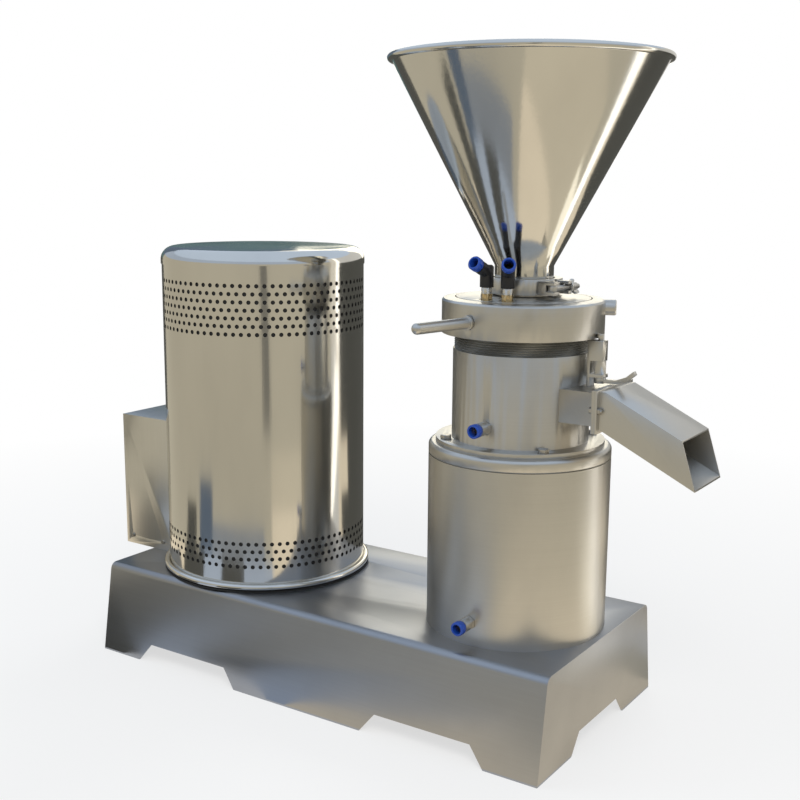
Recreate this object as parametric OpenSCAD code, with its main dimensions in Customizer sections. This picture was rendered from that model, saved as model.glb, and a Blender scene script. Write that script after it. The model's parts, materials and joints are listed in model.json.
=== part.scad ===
// Vertical colloid mill with a belt drive, as a set of separate pieces.
// Millimetres. Origin on the floor at the middle of the base, +X towards the outlet, -Y is the front.

/* [Base] */
// Length of the base along X
base_len = 1000; // [960:5:1200]
// Width of the base at its top
base_top_w = 411; // [400:1:450]
// Width of the base at the floor
base_floor_w = 466; // [455:1:540]
// Height of the base
base_h = 178; // [165:1:230]
// Thickness of the folded sheet
base_sheet = 3; // [2:0.5:5]
// Outer radius of the two long bends
base_bend_r = 14; // [8:1:18]
// Height of the cut-outs between the feet
notch_h = 36; // [20:1:45]
// Length of a side cut-out at the floor
notch_len = 252; // [180:2:280]
// Distance between the two side cut-outs, centre to centre
notch_pitch = 546; // [480:2:580]
// Length of an end cut-out at the floor
end_notch_len = 215; // [150:5:260]
// How far each end of a cut-out leans in over its height
notch_lean = 29; // [10:1:40]
// Thickness of the plate that carries the drive
plate_t = 12; // [8:1:16]

/* [Hood] */
// Diameter of the hood drum
hood_d = 399; // [385:1:405]
// Height of the drum above the base
hood_h = 620; // [600:5:760]
// Height of the cap above the drum's top edge
cap_h = 29; // [20:1:50]
// Radius of the cap's rounded edge
cap_edge_r = 26; // [6:1:28]
// Sheet thickness of drum and cap
hood_sheet = 1.5; // [1:0.1:2.5]
// Radius of the rolled rim at the foot of the drum
rim_r = 6; // [4:0.5:8]
// Thickness of the rubber strip under the rim
hood_seal_t = 3; // [1.5:0.5:5]

/* [Terminal box] */
// How far the box stands out beyond the hood
box_reach = 126; // [100:1:150]
// Width of the box
box_w = 170; // [140:2:200]
// Height of the box
box_h = 284; // [200:2:320]
// Sheet thickness of the box
box_sheet = 2; // [1:0.5:3]
// Diameter of the cable bore in the gland
gland_bore_d = 12; // [8:0.5:14]

/* [Motor] */
// Motor axis in from the base's rear end
motor_inset = 245; // [225:1:255]
// Diameter of the mounting flange
motor_flange_d = 350; // [345:1:360]
// Thickness of the mounting flange
motor_flange_t = 16; // [12:1:24]
// Diameter of the flange spigot
motor_spigot_d = 250; // [230:1:260]
// Bolt circle of the flange
motor_pcd = 300; // [290:1:315]
// Bolt diameter of the flange
motor_bolt_d = 16; // [12:1:18]
// Diameter of the motor frame without its fins
motor_body_d = 236; // [230:1:250]
// Diameter over the fins
motor_fin_d = 280; // [265:1:310]
// Number of cooling fins
motor_fins = 24; // [12:2:36]
// Height of the motor frame
motor_body_h = 352; // [320:2:400]
// Diameter of the shaft's drive end
motor_shaft_d = 42; // [38:1:44]
// Height of the fan cowl
cowl_h = 94; // [80:1:110]

/* [Belt drive] */
// Diameter of the motor pulley
motor_pulley_d = 150; // [130:1:180]
// Diameter of the mill pulley
mill_pulley_d = 130; // [115:1:150]
// Number of belts
belts = 3; // [1:1:3]
// Distance between the belt grooves
groove_pitch = 19; // [18:0.5:21]
// Depth of a belt groove
groove_depth = 14; // [12:0.5:16]

/* [Mill body] */
// Mill axis in from the base's outlet end
mill_inset = 171; // [165:1:180]
// Diameter of the pedestal
pedestal_d = 321; // [305:1:330]
// Height of the pedestal
pedestal_h = 330; // [320:2:400]
// Wall of the pedestal shell
pedestal_wall = 4; // [3:0.5:6]
// Diameter of the grinding chamber
chamber_d = 240; // [236:1:250]
// Wall of the grinding chamber
chamber_wall = 16; // [13:0.5:17]
// Height of the chamber's outer wall
chamber_h = 164; // [156:1:180]
// Height of the threaded collar above the chamber wall
collar_h = 66; // [60:1:67]
// Diameter of the spindle in its bearings
spindle_d = 50; // [48:1:52]

/* [Grinding set] */
// Largest diameter of the rotor cone
rotor_low_d = 172; // [160:1:178]
// Smallest diameter of the rotor cone
rotor_top_d = 120; // [110:1:130]
// Height of the rotor
rotor_h = 118; // [110:1:119]
// Radial gap between rotor and stator at the finest setting
grind_gap = 0.5; // [0.3:0.1:1.5]
// Coarse teeth around rotor and stator
coarse_teeth = 14; // [8:1:18]
// Fine teeth around rotor and stator
fine_teeth = 30; // [16:1:36]

/* [Adjusting head] */
// Diameter of the adjusting ring
ring_d = 281; // [272:1:300]
// Height of the adjusting ring
ring_h = 62; // [56:1:70]
// Gap between the chamber's wall and the ring
ring_lift = 28; // [24:1:34]
// Diameter of the head cover let into the ring
cover_d = 232; // [226:1:238]
// Outer diameter of the inlet tube
inlet_d = 101.6; // [96:0.1:102]
// Wall of the inlet tube and the hopper
inlet_wall = 2; // [1.5:0.1:3]
// Diameter of the handle bar
bar_d = 18.5; // [14:0.5:20]
// Length of the handle bar outside the ring
bar_len = 130; // [100:5:180]

/* [Hopper] */
// Diameter of the hopper's mouth at the rolled lip's middle
mouth_d = 464; // [400:2:520]
// Height of the cone
cone_h = 341.5; // [300:0.5:380]
// Length of the straight neck
neck_h = 32; // [28:1:50]
// Radius of the rolled lip
lip_r = 6; // [4:0.5:8]

/* [Outlet] */
// Width of the outlet channel
outlet_w = 121.4; // [100:1:126]
// Height of the outlet stub
stub_h = 56; // [40:1:58]
// Distance from the mill axis to the end of the stub
stub_end = 172; // [168:1:190]
// Vertical height of the chute
chute_h = 63; // [50:1:66]
// Slope of the chute in degrees
chute_slope = 25.8; // [15:0.1:30]
// Length of the chute's top
chute_top_len = 141; // [100:1:180]
// How far the chute's floor runs past its top
chute_beak = 25; // [0:1:40]
// Sheet thickness of stub and chute
chute_sheet = 2; // [1.5:0.1:3]

/* [Water fittings] */
// Bore for the water tube
tube_bore_d = 16.1; // [12:0.1:16.1]
// Outer diameter of the release collars
release_d = 24; // [23:0.5:26]
// Tilt of the elbow outlets above level, in degrees
elbow_tilt = 25; // [0:1:35]

/* [Hidden] */
$fn = 72;

// Clearances: cut runs past an opened face, fit is for seated pieces and shafts, slack parts moving pieces
cut = 1;
fit = 0.05;
slack = 0.3;

// Base and drive levels
motor_x = motor_inset - base_len / 2;
mill_x = base_len / 2 - mill_inset;
base_lean = (base_floor_w - base_top_w) / 2;
base_side = norm([base_lean, base_h]);
base_side_wall = base_sheet * base_side / base_h;
plate_z = base_h - base_sheet - plate_t;
plate_margin = 20;
pulley_edge = 12.5;
pulley_w = 2 * pulley_edge + (belts - 1) * groove_pitch;
pulley_drop = 15;
pulley_z = plate_z - pulley_drop - pulley_w;
groove_top_w = 16.6;
groove_low_w = 8.4;
belt_depth = 11;
belt_gap = 0.35;
hub_end = 3;

// Hood levels
hood_r = hood_d / 2;
rim_mid_r = hood_r + rim_r - hood_sheet / 2;
drum_z = base_h + hood_seal_t;
shoulder_z = base_h + hood_h;
cap_lap = 4;
rim_clear = 0.5;

// Terminal box details
screw_r = 2;
screw_inset = [18, 17];
gland_stem_r = 9;

// Motor levels and bearing
motor_bearing = [45, 100, 25];
motor_frame_z = base_h + motor_flange_t;
motor_top_z = motor_frame_z + motor_body_h;
motor_bearing_low_z = motor_frame_z + 6;
motor_bearing_top_z = motor_top_z - 4 - motor_bearing[2];
motor_core_r = 74.3;
motor_core_gap = 0.5;
motor_core_rise = 46;
motor_core_h = 240;
motor_chamber_r = motor_body_d / 2 - 13;
motor_boss_r = motor_bearing[1] / 2 + 12;
motor_spigot_h = 5;
motor_seat_r = 30;
fan_seat_r = 19;
cowl_lap = 10;
cowl_wall = 1.5;
fan_rise = 10;
fan_blade_h = 42;
fan_d = 250;

// Mill bearings: bore, outside diameter, width, ball circle and ball diameter
mill_bearing = [spindle_d, spindle_d + 60, 27, spindle_d + 30, 19];
ball_gap = 0.1;
ball_count = 9;
bearing_land = 5;
housing_r = mill_bearing[1] / 2 + 17;
housing_top_z = base_h + pedestal_h - 38;
bearing_low_z = base_h + 22;
bearing_top_z = housing_top_z - 45;
bearing_cap_t = 10;
cap_bore_r = spindle_d / 2 + 2;
low_cap_r = housing_r - 2;
pulley_seat_r = 21;

// Mill levels
chamber_z = base_h + pedestal_h;
chamber_r = chamber_d / 2;
chamber_in_r = chamber_r - chamber_wall;
chamber_floor = 20;
chamber_flange_r = chamber_r + 28;
chamber_flange_t = 8;
chamber_spigot_r = 95;
chamber_spigot_h = 12;
collar_z = chamber_z + chamber_h;
collar_r = chamber_r - 2;
ring_z = collar_z + ring_lift;
ring_r = ring_d / 2;
ring_top_z = ring_z + ring_h;
ring_bevel = 3;
pedestal_top_t = 22;
pedestal_edge_r = 8;
pedestal_groove = 2;
chamber_bolt = [10, 17, 6.5];
chamber_bolt_r = chamber_r + 14;
bolt_grip = 14;

// Grinding set levels
cover_r = cover_d / 2;
crown_slope = 6;
crown_flat_r = 72;
spot_face_r = 12;
cover_t = 9.7;
cover_boss_r = cover_r - 16.3;
cover_boss_t = 12.8;
cover_low_z = ring_top_z - cover_t - cover_boss_t;
stator_r = cover_boss_r - 0.2;
rotor_seat_r = 20;
rotor_top_z = cover_low_z - 9.5;
rotor_z = rotor_top_z - rotor_h;
rotor_taper = (rotor_low_d - rotor_top_d) / 2 / rotor_h;
paddle_z = chamber_z + 40;
paddle_h = rotor_z - paddle_z;
seal_seat_h = 16;
seal_gap = 0.1;
seal_seat_r = 45;
seal_bore_r = 27;
spindle_top_z = rotor_top_z + 22;

// Inlet clamp: ferrule flange, gasket and ring section
inlet_r = inlet_d / 2;
ferrule_r = inlet_r + 8.7;
ferrule_edge = 2.85;
ferrule_taper = tan(20);
gasket_t = 2;
clamp_z = ring_top_z + 20.5;
clamp_r = ferrule_r + 6.5;
clamp_half_h = 13;
clamp_lip_r = inlet_r + 2.7;
clamp_angle = -8;
clamp_gap = 3;
clamp_bolt_r = clamp_r + 16;
ear_w = 11;
bolt_rod_r = 4.5;
pivot_t = -32;
pivot_pin_r = 4;
bolt_eye_r = 7.5;
nut_seat_t = 14;
hinge_r = clamp_r + 8;
hinge_pin_r = 3;
knuckle_r = 7;

// Hopper levels
neck_z = clamp_z + gasket_t / 2;
cone_z = neck_z + neck_h;
lip_z = cone_z + cone_h;

// Outlet levels, with the flanges that join stub and chute
stub_z = chamber_z + 55;
flange_t = 5;
flange_x = mill_x + stub_end - flange_t;
chute_x = mill_x + stub_end + flange_t;
flange_w = outlet_w + 24.6;
flange_z = stub_z - 10;
flange_h = chute_h + 9;
chute_z = stub_z - 4;
chute_flat = 9;
flange_bolt = [6, 10, 5];
flange_bolt_y = outlet_w / 2 + 6.3;

// Handle bar, side stub and cam lock on the ring
bar_angle = -101.5;
bar_z = ring_z + 27;
bar_root_d = bar_d + 6;
bar_root_t = 6;
bar_thread_d = 12;
bar_thread_len = 14;
stub_angle = 24;
side_stub_d = 27;
side_stub_len = 18;
lock_r = ring_r + 7.5;
lock_x = mill_x + lock_r;
lock_block_w = 20;
lock_block_len = 28;
lock_plate_t = 5.5;
lock_block_h = 34;
lock_pin_r = 5;
lock_foot_z = stub_z + 72;
lock_foot_t = 6;
lock_cam_r = 6;
lock_cam_lift = lock_r - ring_r - slack - lock_cam_r;
lever_reach = 64;
lever_rise = 18;
lever_t = 6;

// Water fittings: one hex, body and release collar for all four
stem_r = 6.5;
hex_r = 12.7;
hex_t = 9;
fitting_body_r = release_d / 2 - 0.5;
fitting_body_len = 17;
socket_len = 11;
sleeve_r = tube_bore_d / 2 + 1.9;
sleeve_len = 6;
release_gap = 1.8;
release_len = 13;
fitting_angle = -91;
chamber_fitting_z = chamber_z + 42;
pedestal_fitting_z = base_h + 41;
stem_len = 8;
elbow_places = [[-102.6, 95, -96], [-78.5, 94, -60]];
crown_seat_r = elbow_places[0][1] + spot_face_r + 2;
nipple_hex = [9.8, 10, 11];
elbow_z = ring_top_z + 21;
elbow_stem_r = 6;
elbow_stem_len = 17;
elbow_knee = 25;
elbow_leg = 10;
elbow_crown = 9;

module at_motor(z = 0) {
    translate([motor_x, 0, z]) children();
}

module at_mill(z = 0) {
    translate([mill_x, 0, z]) children();
}

module ring(r_out, r_in, h) {
    difference() {
        cylinder(r = r_out, h = h);
        translate([0, 0, -cut]) cylinder(r = r_in, h = h + 2 * cut);
    }
}

module revolve(points) {
    rotate_extrude() polygon(points);
}

// A hexagon across corners 2r
module hex(r, h) {
    cylinder(r = r, h = h, $fn = 6);
}

// Hex bolt standing head up on z = 0, given as [shank diameter, width across flats, head height]
module hex_bolt(size, length) {
    hex(size[1] / sqrt(3), size[2]);
    translate([0, 0, -length]) cylinder(d = size[0], h = length + cut);
}

// Bar along X with leaning sides and bent top edges; drop carries the sides on below z = 0
module trapezoid_bar(len, top_w, floor_w, h, bend_r, drop = 0) {
    lean = (floor_w - top_w) / 2;
    out = [h, lean] / norm([lean, h]);
    bend = [top_w / 2 - bend_r * (1 - out[1]) / out[0], h - bend_r];
    half = [[floor_w / 2 + lean * drop / h, -drop], bend + bend_r * out, [bend[0], h]];
    mirrored = [for (i = [2 : -1 : 0]) [-half[i][0], half[i][1]]];
    translate([-len / 2, 0, 0]) rotate([90, 0, 90]) {
        linear_extrude(len) polygon(concat(half, mirrored));
        for (side = [-1, 1])
            translate([side * bend[0], bend[1], 0]) cylinder(r = bend_r, h = len);
    }
}

// Opening with leaning ends, cut through along Y from the floor up
module notch(len, depth) {
    spread = notch_lean * cut / notch_h;
    rotate([90, 0, 0]) linear_extrude(depth, center = true) polygon([
        [-len / 2 - spread, -cut], [len / 2 + spread, -cut],
        [len / 2 - notch_lean, notch_h], [-len / 2 + notch_lean, notch_h]
    ]);
}

module motor_bolt_places() {
    for (a = [45 : 90 : 315])
        rotate([0, 0, a]) translate([motor_pcd / 2, 0, 0]) children();
}

// Openings of the base top for the motor spigot, its bolts and the lower bearing cap
module drive_openings(bolt_r) {
    at_motor(plate_z - cut) {
        cylinder(d = motor_spigot_d + 2 * fit, h = base_h);
        motor_bolt_places() cylinder(r = bolt_r, h = base_h);
    }
    at_mill(plate_z - cut) cylinder(r = low_cap_r + cut, h = base_h);
}

module base_frame() {
    inner_top_w = base_top_w + 2 * (base_lean * base_sheet / base_h - base_side_wall);
    color("lightsteelblue") difference() {
        trapezoid_bar(base_len, base_top_w, base_floor_w, base_h, base_bend_r);
        trapezoid_bar(base_len - 2 * base_sheet, inner_top_w, base_floor_w - 2 * base_side_wall,
                      base_h - base_sheet, base_bend_r - base_sheet, cut);
        for (side = [-1, 1])
            translate([side * notch_pitch / 2, 0, 0]) notch(notch_len, base_floor_w + 2 * cut);
        rotate([0, 0, 90]) notch(end_notch_len, base_len + 2 * cut);
        drive_openings(motor_bolt_d / 2 + fit);
    }
}

module drive_plate() {
    len = base_len - 2 * (base_sheet + plate_margin);
    width = base_top_w - 2 * (base_bend_r + plate_margin / 2);
    color("dimgray") difference() {
        translate([-len / 2, -width / 2, plate_z]) cube([len, width, plate_t]);
        drive_openings(motor_bolt_d / 2 + fit);
    }
}

module hood_drum() {
    color("tan") at_motor() difference() {
        union() {
            translate([0, 0, drum_z]) cylinder(r = hood_r, h = shoulder_z - drum_z);
            translate([0, 0, drum_z + rim_r])
                rotate_extrude() translate([rim_mid_r, 0]) circle(rim_r);
        }
        translate([0, 0, drum_z - cut]) cylinder(r = hood_r - hood_sheet, h = hood_h);
    }
}

// Round lid with a rolled-over edge
module round_lid(r, h, edge_r) {
    cylinder(r = r, h = h - edge_r);
    cylinder(r = r - edge_r, h = h);
    intersection() {
        translate([0, 0, h - edge_r]) rotate_extrude() translate([r - edge_r, 0]) circle(edge_r);
        cylinder(r = r, h = h);
    }
}

module hood_cap() {
    r = hood_r + fit + hood_sheet;
    color("tan") at_motor(shoulder_z - cap_lap) difference() {
        round_lid(r, cap_h + cap_lap, cap_edge_r);
        translate([0, 0, -cut])
            cylinder(r = hood_r + fit, h = cap_lap + cut + fit);
        round_lid(r - 2 * hood_sheet, cap_h + cap_lap - hood_sheet, cap_edge_r - hood_sheet);
    }
}

module hood_seal() {
    color("black") at_motor(base_h) ring(rim_mid_r + rim_r - 1, hood_r - hood_sheet, hood_seal_t);
}

// Block of the terminal box, cut to the hood and its rim with the given wall over both
module box_block(inset) {
    x0 = motor_x - hood_r - box_reach + inset;
    difference() {
        translate([x0, -box_w / 2 + inset, base_h + inset])
            cube([motor_x - x0, box_w - 2 * inset, box_h - 2 * inset]);
        at_motor() cylinder(r = hood_r + slack + inset, h = base_h + box_h + cut);
        at_motor()
            cylinder(r = rim_mid_r + rim_r + rim_clear + inset, h = drum_z + 2 * rim_r + inset);
    }
}

module terminal_box() {
    color("lightgray") difference() {
        box_block(0);
        box_block(box_sheet);
        translate([motor_x - hood_d, -box_w / 2 - cut, base_h - cut])
            cube([hood_d, box_sheet + cut, box_h + 2 * cut]);
        gland_place() translate([0, 0, -2 * box_sheet])
            cylinder(r = gland_stem_r + fit, h = 4 * box_sheet);
        cover_screw_places() cylinder(r = screw_r + fit, h = 4 * box_sheet, center = true);
    }
}

// Screw places on the cover, with +Z pointing out of its face
module cover_screw_places() {
    x0 = motor_x - hood_r - box_reach;
    for (x = [x0 + screw_inset[0], motor_x - hood_r - screw_inset[0]])
        translate([x, -box_w / 2, base_h + screw_inset[1]]) rotate([90, 0, 0]) children();
}

module terminal_cover() {
    color("lightgray") difference() {
        intersection() {
            box_block(0);
            translate([motor_x - hood_d, -box_w / 2, base_h]) cube([hood_d, box_sheet, box_h]);
        }
        cover_screw_places() cylinder(r = screw_r + fit, h = 4 * box_sheet, center = true);
    }
}

module cover_screws() {
    color("dimgray") cover_screw_places() {
        cylinder(r = 2 * screw_r, h = 2.4);
        translate([0, 0, -box_sheet]) cylinder(r = screw_r, h = box_sheet + cut);
    }
}

// Gland place on the back of the box, with +Z pointing out
module gland_place() {
    translate([motor_x - hood_r - box_reach / 2, box_w / 2, base_h + box_h / 2])
        rotate([-90, 0, 0]) children();
}

module cable_gland() {
    color("black") gland_place() difference() {
        union() {
            translate([0, 0, -box_sheet]) cylinder(r = gland_stem_r, h = box_sheet + cut);
            hex(13, 8);
            translate([0, 0, 8]) cylinder(r = 11, h = 9);
            translate([0, 0, 17]) cylinder(r1 = 11, r2 = 8.5, h = 6);
        }
        translate([0, 0, -box_sheet - cut]) cylinder(d = gland_bore_d, h = 40);
    }
}

module motor_flange() {
    color("darkslategray") at_motor() difference() {
        union() {
            translate([0, 0, base_h]) cylinder(d = motor_flange_d, h = motor_flange_t);
            translate([0, 0, base_h - motor_spigot_h])
                cylinder(d = motor_spigot_d, h = motor_spigot_h + cut);
            translate([0, 0, base_h])
                cylinder(r = motor_boss_r, h = motor_bearing_low_z + motor_bearing[2] - base_h);
        }
        translate([0, 0, motor_bearing_low_z])
            cylinder(d = motor_bearing[1] + 2 * fit, h = motor_bearing[2] + cut);
        translate([0, 0, base_h - motor_spigot_h - cut])
            cylinder(r = motor_seat_r, h = motor_bearing_low_z + motor_spigot_h - base_h + 2 * cut);
        translate([0, 0, base_h - cut])
            motor_bolt_places() cylinder(r = motor_bolt_d / 2 + fit, h = motor_flange_t + 2 * cut);
    }
}

module motor_frame() {
    pocket_z = motor_bearing_top_z - 3;
    color("darkslategray") at_motor() difference() {
        union() {
            translate([0, 0, motor_frame_z]) cylinder(d = motor_body_d, h = motor_body_h);
            for (i = [0 : motor_fins - 1])
                rotate([0, 0, i * 360 / motor_fins])
                    translate([motor_body_d / 2 - 2, -2, motor_frame_z + 20])
                        cube([(motor_fin_d - motor_body_d) / 2 + 2, 4, motor_body_h - 40]);
        }
        translate([0, 0, motor_frame_z - cut])
            cylinder(r = motor_core_r + motor_core_gap, h = pocket_z - motor_frame_z + cut);
        translate([0, 0, motor_frame_z - cut]) cylinder(r = motor_chamber_r, h = motor_core_rise + cut);
        translate([0, 0, motor_frame_z + motor_core_rise + motor_core_h])
            cylinder(r = motor_chamber_r, h = pocket_z - motor_frame_z - motor_core_rise - motor_core_h);
        translate([0, 0, pocket_z - cut])
            cylinder(d = motor_bearing[1] + 2 * fit, h = motor_bearing[2] + 3 + cut);
        translate([0, 0, motor_top_z - motor_bearing[2]])
            cylinder(r = fan_seat_r + 4, h = 2 * motor_bearing[2]);
    }
}

module fan_cowl() {
    r = motor_fin_d / 2 + slack + cowl_wall;
    color("darkslategray") at_motor(motor_top_z - cowl_lap) difference() {
        cylinder(r = r, h = cowl_h + cowl_lap);
        translate([0, 0, -cut]) cylinder(r = r - cowl_wall, h = cowl_h + cowl_lap - cowl_wall + cut);
        for (i = [0 : 11], hole_r = [r * 0.42, r * 0.72])
            rotate([0, 0, i * 30]) translate([hole_r, 0, cowl_h]) cylinder(d = 26, h = 3 * cowl_lap);
    }
    color("darkslategray") at_motor(motor_top_z) for (a = [0 : 90 : 270])
        rotate([0, 0, a]) translate([motor_body_d / 2 - 8, -6, 0])
            cube([(motor_fin_d - motor_body_d) / 2 + 8 + slack + cowl_wall / 2, 12, 3]);
}

module motor_shaft() {
    seat_r = motor_bearing[0] / 2;
    low_end = motor_bearing_low_z + motor_bearing[2] + 1;
    fan_end = motor_top_z + fan_rise + fan_blade_h + 8;
    core_z = motor_frame_z + motor_core_rise + 4;
    core_top = core_z + motor_core_h - 8;
    color("silver") at_motor() revolve([
        [0, pulley_z - hub_end], [motor_shaft_d / 2, pulley_z - hub_end],
        [motor_shaft_d / 2, motor_bearing_low_z - 0.5], [seat_r, motor_bearing_low_z - 0.5],
        [seat_r, low_end], [motor_seat_r, low_end],
        [motor_seat_r, core_z], [motor_core_r, core_z], [motor_core_r, core_top], [motor_seat_r, core_top],
        [motor_seat_r, motor_bearing_top_z - 0.5], [seat_r, motor_bearing_top_z - 0.5],
        [seat_r, motor_top_z - 3], [fan_seat_r, motor_top_z - 3],
        [fan_seat_r, fan_end], [0, fan_end]
    ]);
}

module motor_fan() {
    color("black") at_motor(motor_top_z + fan_rise) difference() {
        union() {
            cylinder(r = fan_seat_r + 11, h = fan_blade_h);
            cylinder(d = fan_d * 0.7, h = 4);
            for (i = [0 : 7])
                rotate([0, 0, i * 45]) translate([fan_seat_r + 8, -2, 0])
                    cube([fan_d / 2 - fan_seat_r - 8, 4, fan_blade_h]);
        }
        translate([0, 0, -cut]) cylinder(r = fan_seat_r + fit, h = fan_blade_h + 2 * cut);
    }
}

// Grooved pulley with its lower face on z = 0
module pulley(r, bore_r) {
    grooves = [for (i = [0 : belts - 1]) let (z = pulley_edge + i * groove_pitch)
        each [[r, z - groove_top_w / 2], [r - groove_depth, z - groove_low_w / 2],
              [r - groove_depth, z + groove_low_w / 2], [r, z + groove_top_w / 2]]];
    revolve(concat([[bore_r, 0], [r, 0]], grooves, [[r, pulley_w], [bore_r, pulley_w]]));
}

module motor_pulley() {
    color("gray") at_motor(pulley_z) pulley(motor_pulley_d / 2, motor_shaft_d / 2 + fit);
}

module mill_pulley() {
    color("gray") at_mill(pulley_z) pulley(mill_pulley_d / 2, pulley_seat_r + fit);
}

// Sealed bearing as one ring with recessed shields
module sealed_bearing(size) {
    bore_r = size[0] / 2 + fit;
    out_r = size[1] / 2;
    shield = 1;
    land = 5;
    revolve([
        [bore_r, 0], [bore_r + land, 0], [bore_r + land, shield],
        [out_r - land, shield], [out_r - land, 0],
        [out_r, 0], [out_r, size[2]], [out_r - land, size[2]], [out_r - land, size[2] - shield],
        [bore_r + land, size[2] - shield], [bore_r + land, size[2]], [bore_r, size[2]]
    ]);
}

module motor_bearings() {
    color("silver") for (z = [motor_bearing_low_z, motor_bearing_top_z])
        at_motor(z) sealed_bearing(motor_bearing);
}

module motor_bolts() {
    color("silver") at_motor(motor_frame_z) motor_bolt_places()
        hex_bolt([motor_bolt_d, 1.5 * motor_bolt_d, 10], motor_flange_t + base_sheet + plate_t);
}

// Loop round both pulleys, lying the given depth under their rims, centred on z = 0
module belt_loop(depth, h) {
    hull() {
        at_motor(-h / 2) cylinder(d = motor_pulley_d - 2 * depth, h = h, $fn = 48);
        at_mill(-h / 2) cylinder(d = mill_pulley_d - 2 * depth, h = h, $fn = 48);
    }
}

// Free width of the belt groove at a depth
function groove_w(depth) = groove_top_w - (groove_top_w - groove_low_w) * depth / groove_depth - 2 * belt_gap;

// One belt, as wide as the groove leaves at the belt's inner face
module v_belt() {
    difference() {
        belt_loop(0, groove_w(belt_depth));
        belt_loop(belt_depth, groove_pitch);
    }
}

module drive_belts() {
    color("black") for (i = [0 : belts - 1])
        translate([0, 0, pulley_z + pulley_edge + i * groove_pitch]) v_belt();
}

module bearing_housing() {
    pocket_r = mill_bearing[1] / 2 + fit;
    shoulder_r = mill_bearing[1] / 2 - 7;
    housing_foot = 33;
    housing_rib_h = 80;
    color("slategray") at_mill() difference() {
        union() {
            translate([0, 0, base_h]) cylinder(r = housing_r, h = housing_top_z - base_h);
            translate([0, 0, base_h]) cylinder(r = housing_r + housing_foot, h = 14);
            for (a = [30 : 60 : 330])
                rotate([0, 0, a]) translate([housing_r - 2, -4, base_h]) cube([housing_foot - 9, 8, housing_rib_h]);
        }
        translate([0, 0, base_h - cut]) cylinder(r = shoulder_r, h = pedestal_h);
        translate([0, 0, base_h - cut])
            cylinder(r = pocket_r, h = bearing_low_z + mill_bearing[2] - base_h + cut);
        translate([0, 0, bearing_top_z]) cylinder(r = pocket_r, h = pedestal_h);
    }
}

module lower_bearing_cap() {
    flange_h = base_sheet + plate_t - 2;
    color("slategray") at_mill(base_h - flange_h) difference() {
        union() {
            cylinder(r = low_cap_r, h = flange_h);
            cylinder(r = mill_bearing[1] / 2 - fit, h = flange_h + bearing_low_z - base_h);
        }
        translate([0, 0, -cut]) cylinder(r = cap_bore_r, h = pedestal_h);
    }
}

module upper_bearing_cap() {
    spigot_h = housing_top_z - bearing_top_z - mill_bearing[2];
    color("slategray") at_mill(housing_top_z) difference() {
        union() {
            cylinder(r = housing_r, h = bearing_cap_t);
            translate([0, 0, -spigot_h]) cylinder(r = mill_bearing[1] / 2 - fit, h = spigot_h + cut);
        }
        translate([0, 0, -pedestal_h / 2]) cylinder(r = cap_bore_r, h = pedestal_h);
    }
}

module spindle() {
    seat_r = spindle_d / 2;
    shoulder_r = seat_r + 5;
    color("silver") at_mill() revolve([
        [0, pulley_z - hub_end], [pulley_seat_r, pulley_z - hub_end], [pulley_seat_r, plate_z + 2],
        [seat_r, plate_z + 2], [seat_r, bearing_low_z + mill_bearing[2]],
        [shoulder_r, bearing_low_z + mill_bearing[2]], [shoulder_r, bearing_top_z],
        [seat_r, bearing_top_z], [seat_r, paddle_z], [rotor_seat_r, paddle_z],
        [rotor_seat_r, rotor_top_z], [rotor_seat_r - 6, rotor_top_z],
        [rotor_seat_r - 6, spindle_top_z], [0, spindle_top_z]
    ]);
}

module bearing_places() {
    for (z = [bearing_low_z, bearing_top_z]) at_mill(z) children();
}

module ball_race() {
    translate([0, 0, mill_bearing[2] / 2])
        rotate_extrude() translate([mill_bearing[3] / 2, 0]) circle(mill_bearing[4] / 2 + ball_gap);
}

module bearing_outer_rings() {
    color("silver") bearing_places() difference() {
        ring(mill_bearing[1] / 2, mill_bearing[3] / 2 + bearing_land, mill_bearing[2]);
        ball_race();
    }
}

module bearing_inner_rings() {
    color("silver") bearing_places() difference() {
        ring(mill_bearing[3] / 2 - bearing_land, mill_bearing[0] / 2 + fit, mill_bearing[2]);
        ball_race();
    }
}

module bearing_balls() {
    color("white") bearing_places() for (i = [0 : ball_count - 1])
        rotate([0, 0, i * 360 / ball_count])
            translate([mill_bearing[3] / 2, 0, mill_bearing[2] / 2]) sphere(d = mill_bearing[4]);
}

// A place on a wall of radius r about the mill axis, with +Z pointing out
module on_wall(r, angle, z) {
    at_mill(z) rotate([0, 0, angle]) translate([r, 0, 0]) rotate([0, 90, 0]) children();
}

module pedestal_shell() {
    r = pedestal_d / 2;
    color("silver") difference() {
        at_mill(base_h) ring(r, r - pedestal_wall, pedestal_h - pedestal_top_t);
        on_wall(r, fitting_angle, pedestal_fitting_z)
            translate([0, 0, -3 * pedestal_wall]) cylinder(r = stem_r + fit, h = 4 * pedestal_wall);
    }
}

module chamber_bolt_places(z) {
    for (a = [45 : 90 : 315])
        at_mill(z) rotate([0, 0, a]) translate([chamber_bolt_r, 0, 0]) children();
}

module pedestal_top() {
    r = pedestal_d / 2;
    color("silver") difference() {
        union() {
            at_mill(chamber_z - pedestal_top_t) cylinder(r = r - pedestal_groove, h = pedestal_top_t / 2);
            at_mill(chamber_z - pedestal_top_t + pedestal_groove)
                round_lid(r, pedestal_top_t - pedestal_groove, pedestal_edge_r);
        }
        at_mill(chamber_z - pedestal_top_t - cut)
            cylinder(r = chamber_spigot_r + fit, h = pedestal_top_t + 2 * cut);
        chamber_bolt_places(chamber_z - bolt_grip)
            cylinder(d = chamber_bolt[0] + 2 * fit, h = 2 * bolt_grip);
    }
}

module seal_seat() {
    color("white") at_mill(chamber_z + chamber_floor - seal_seat_h)
        ring(seal_seat_r - fit, seal_bore_r, seal_seat_h);
}

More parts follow.
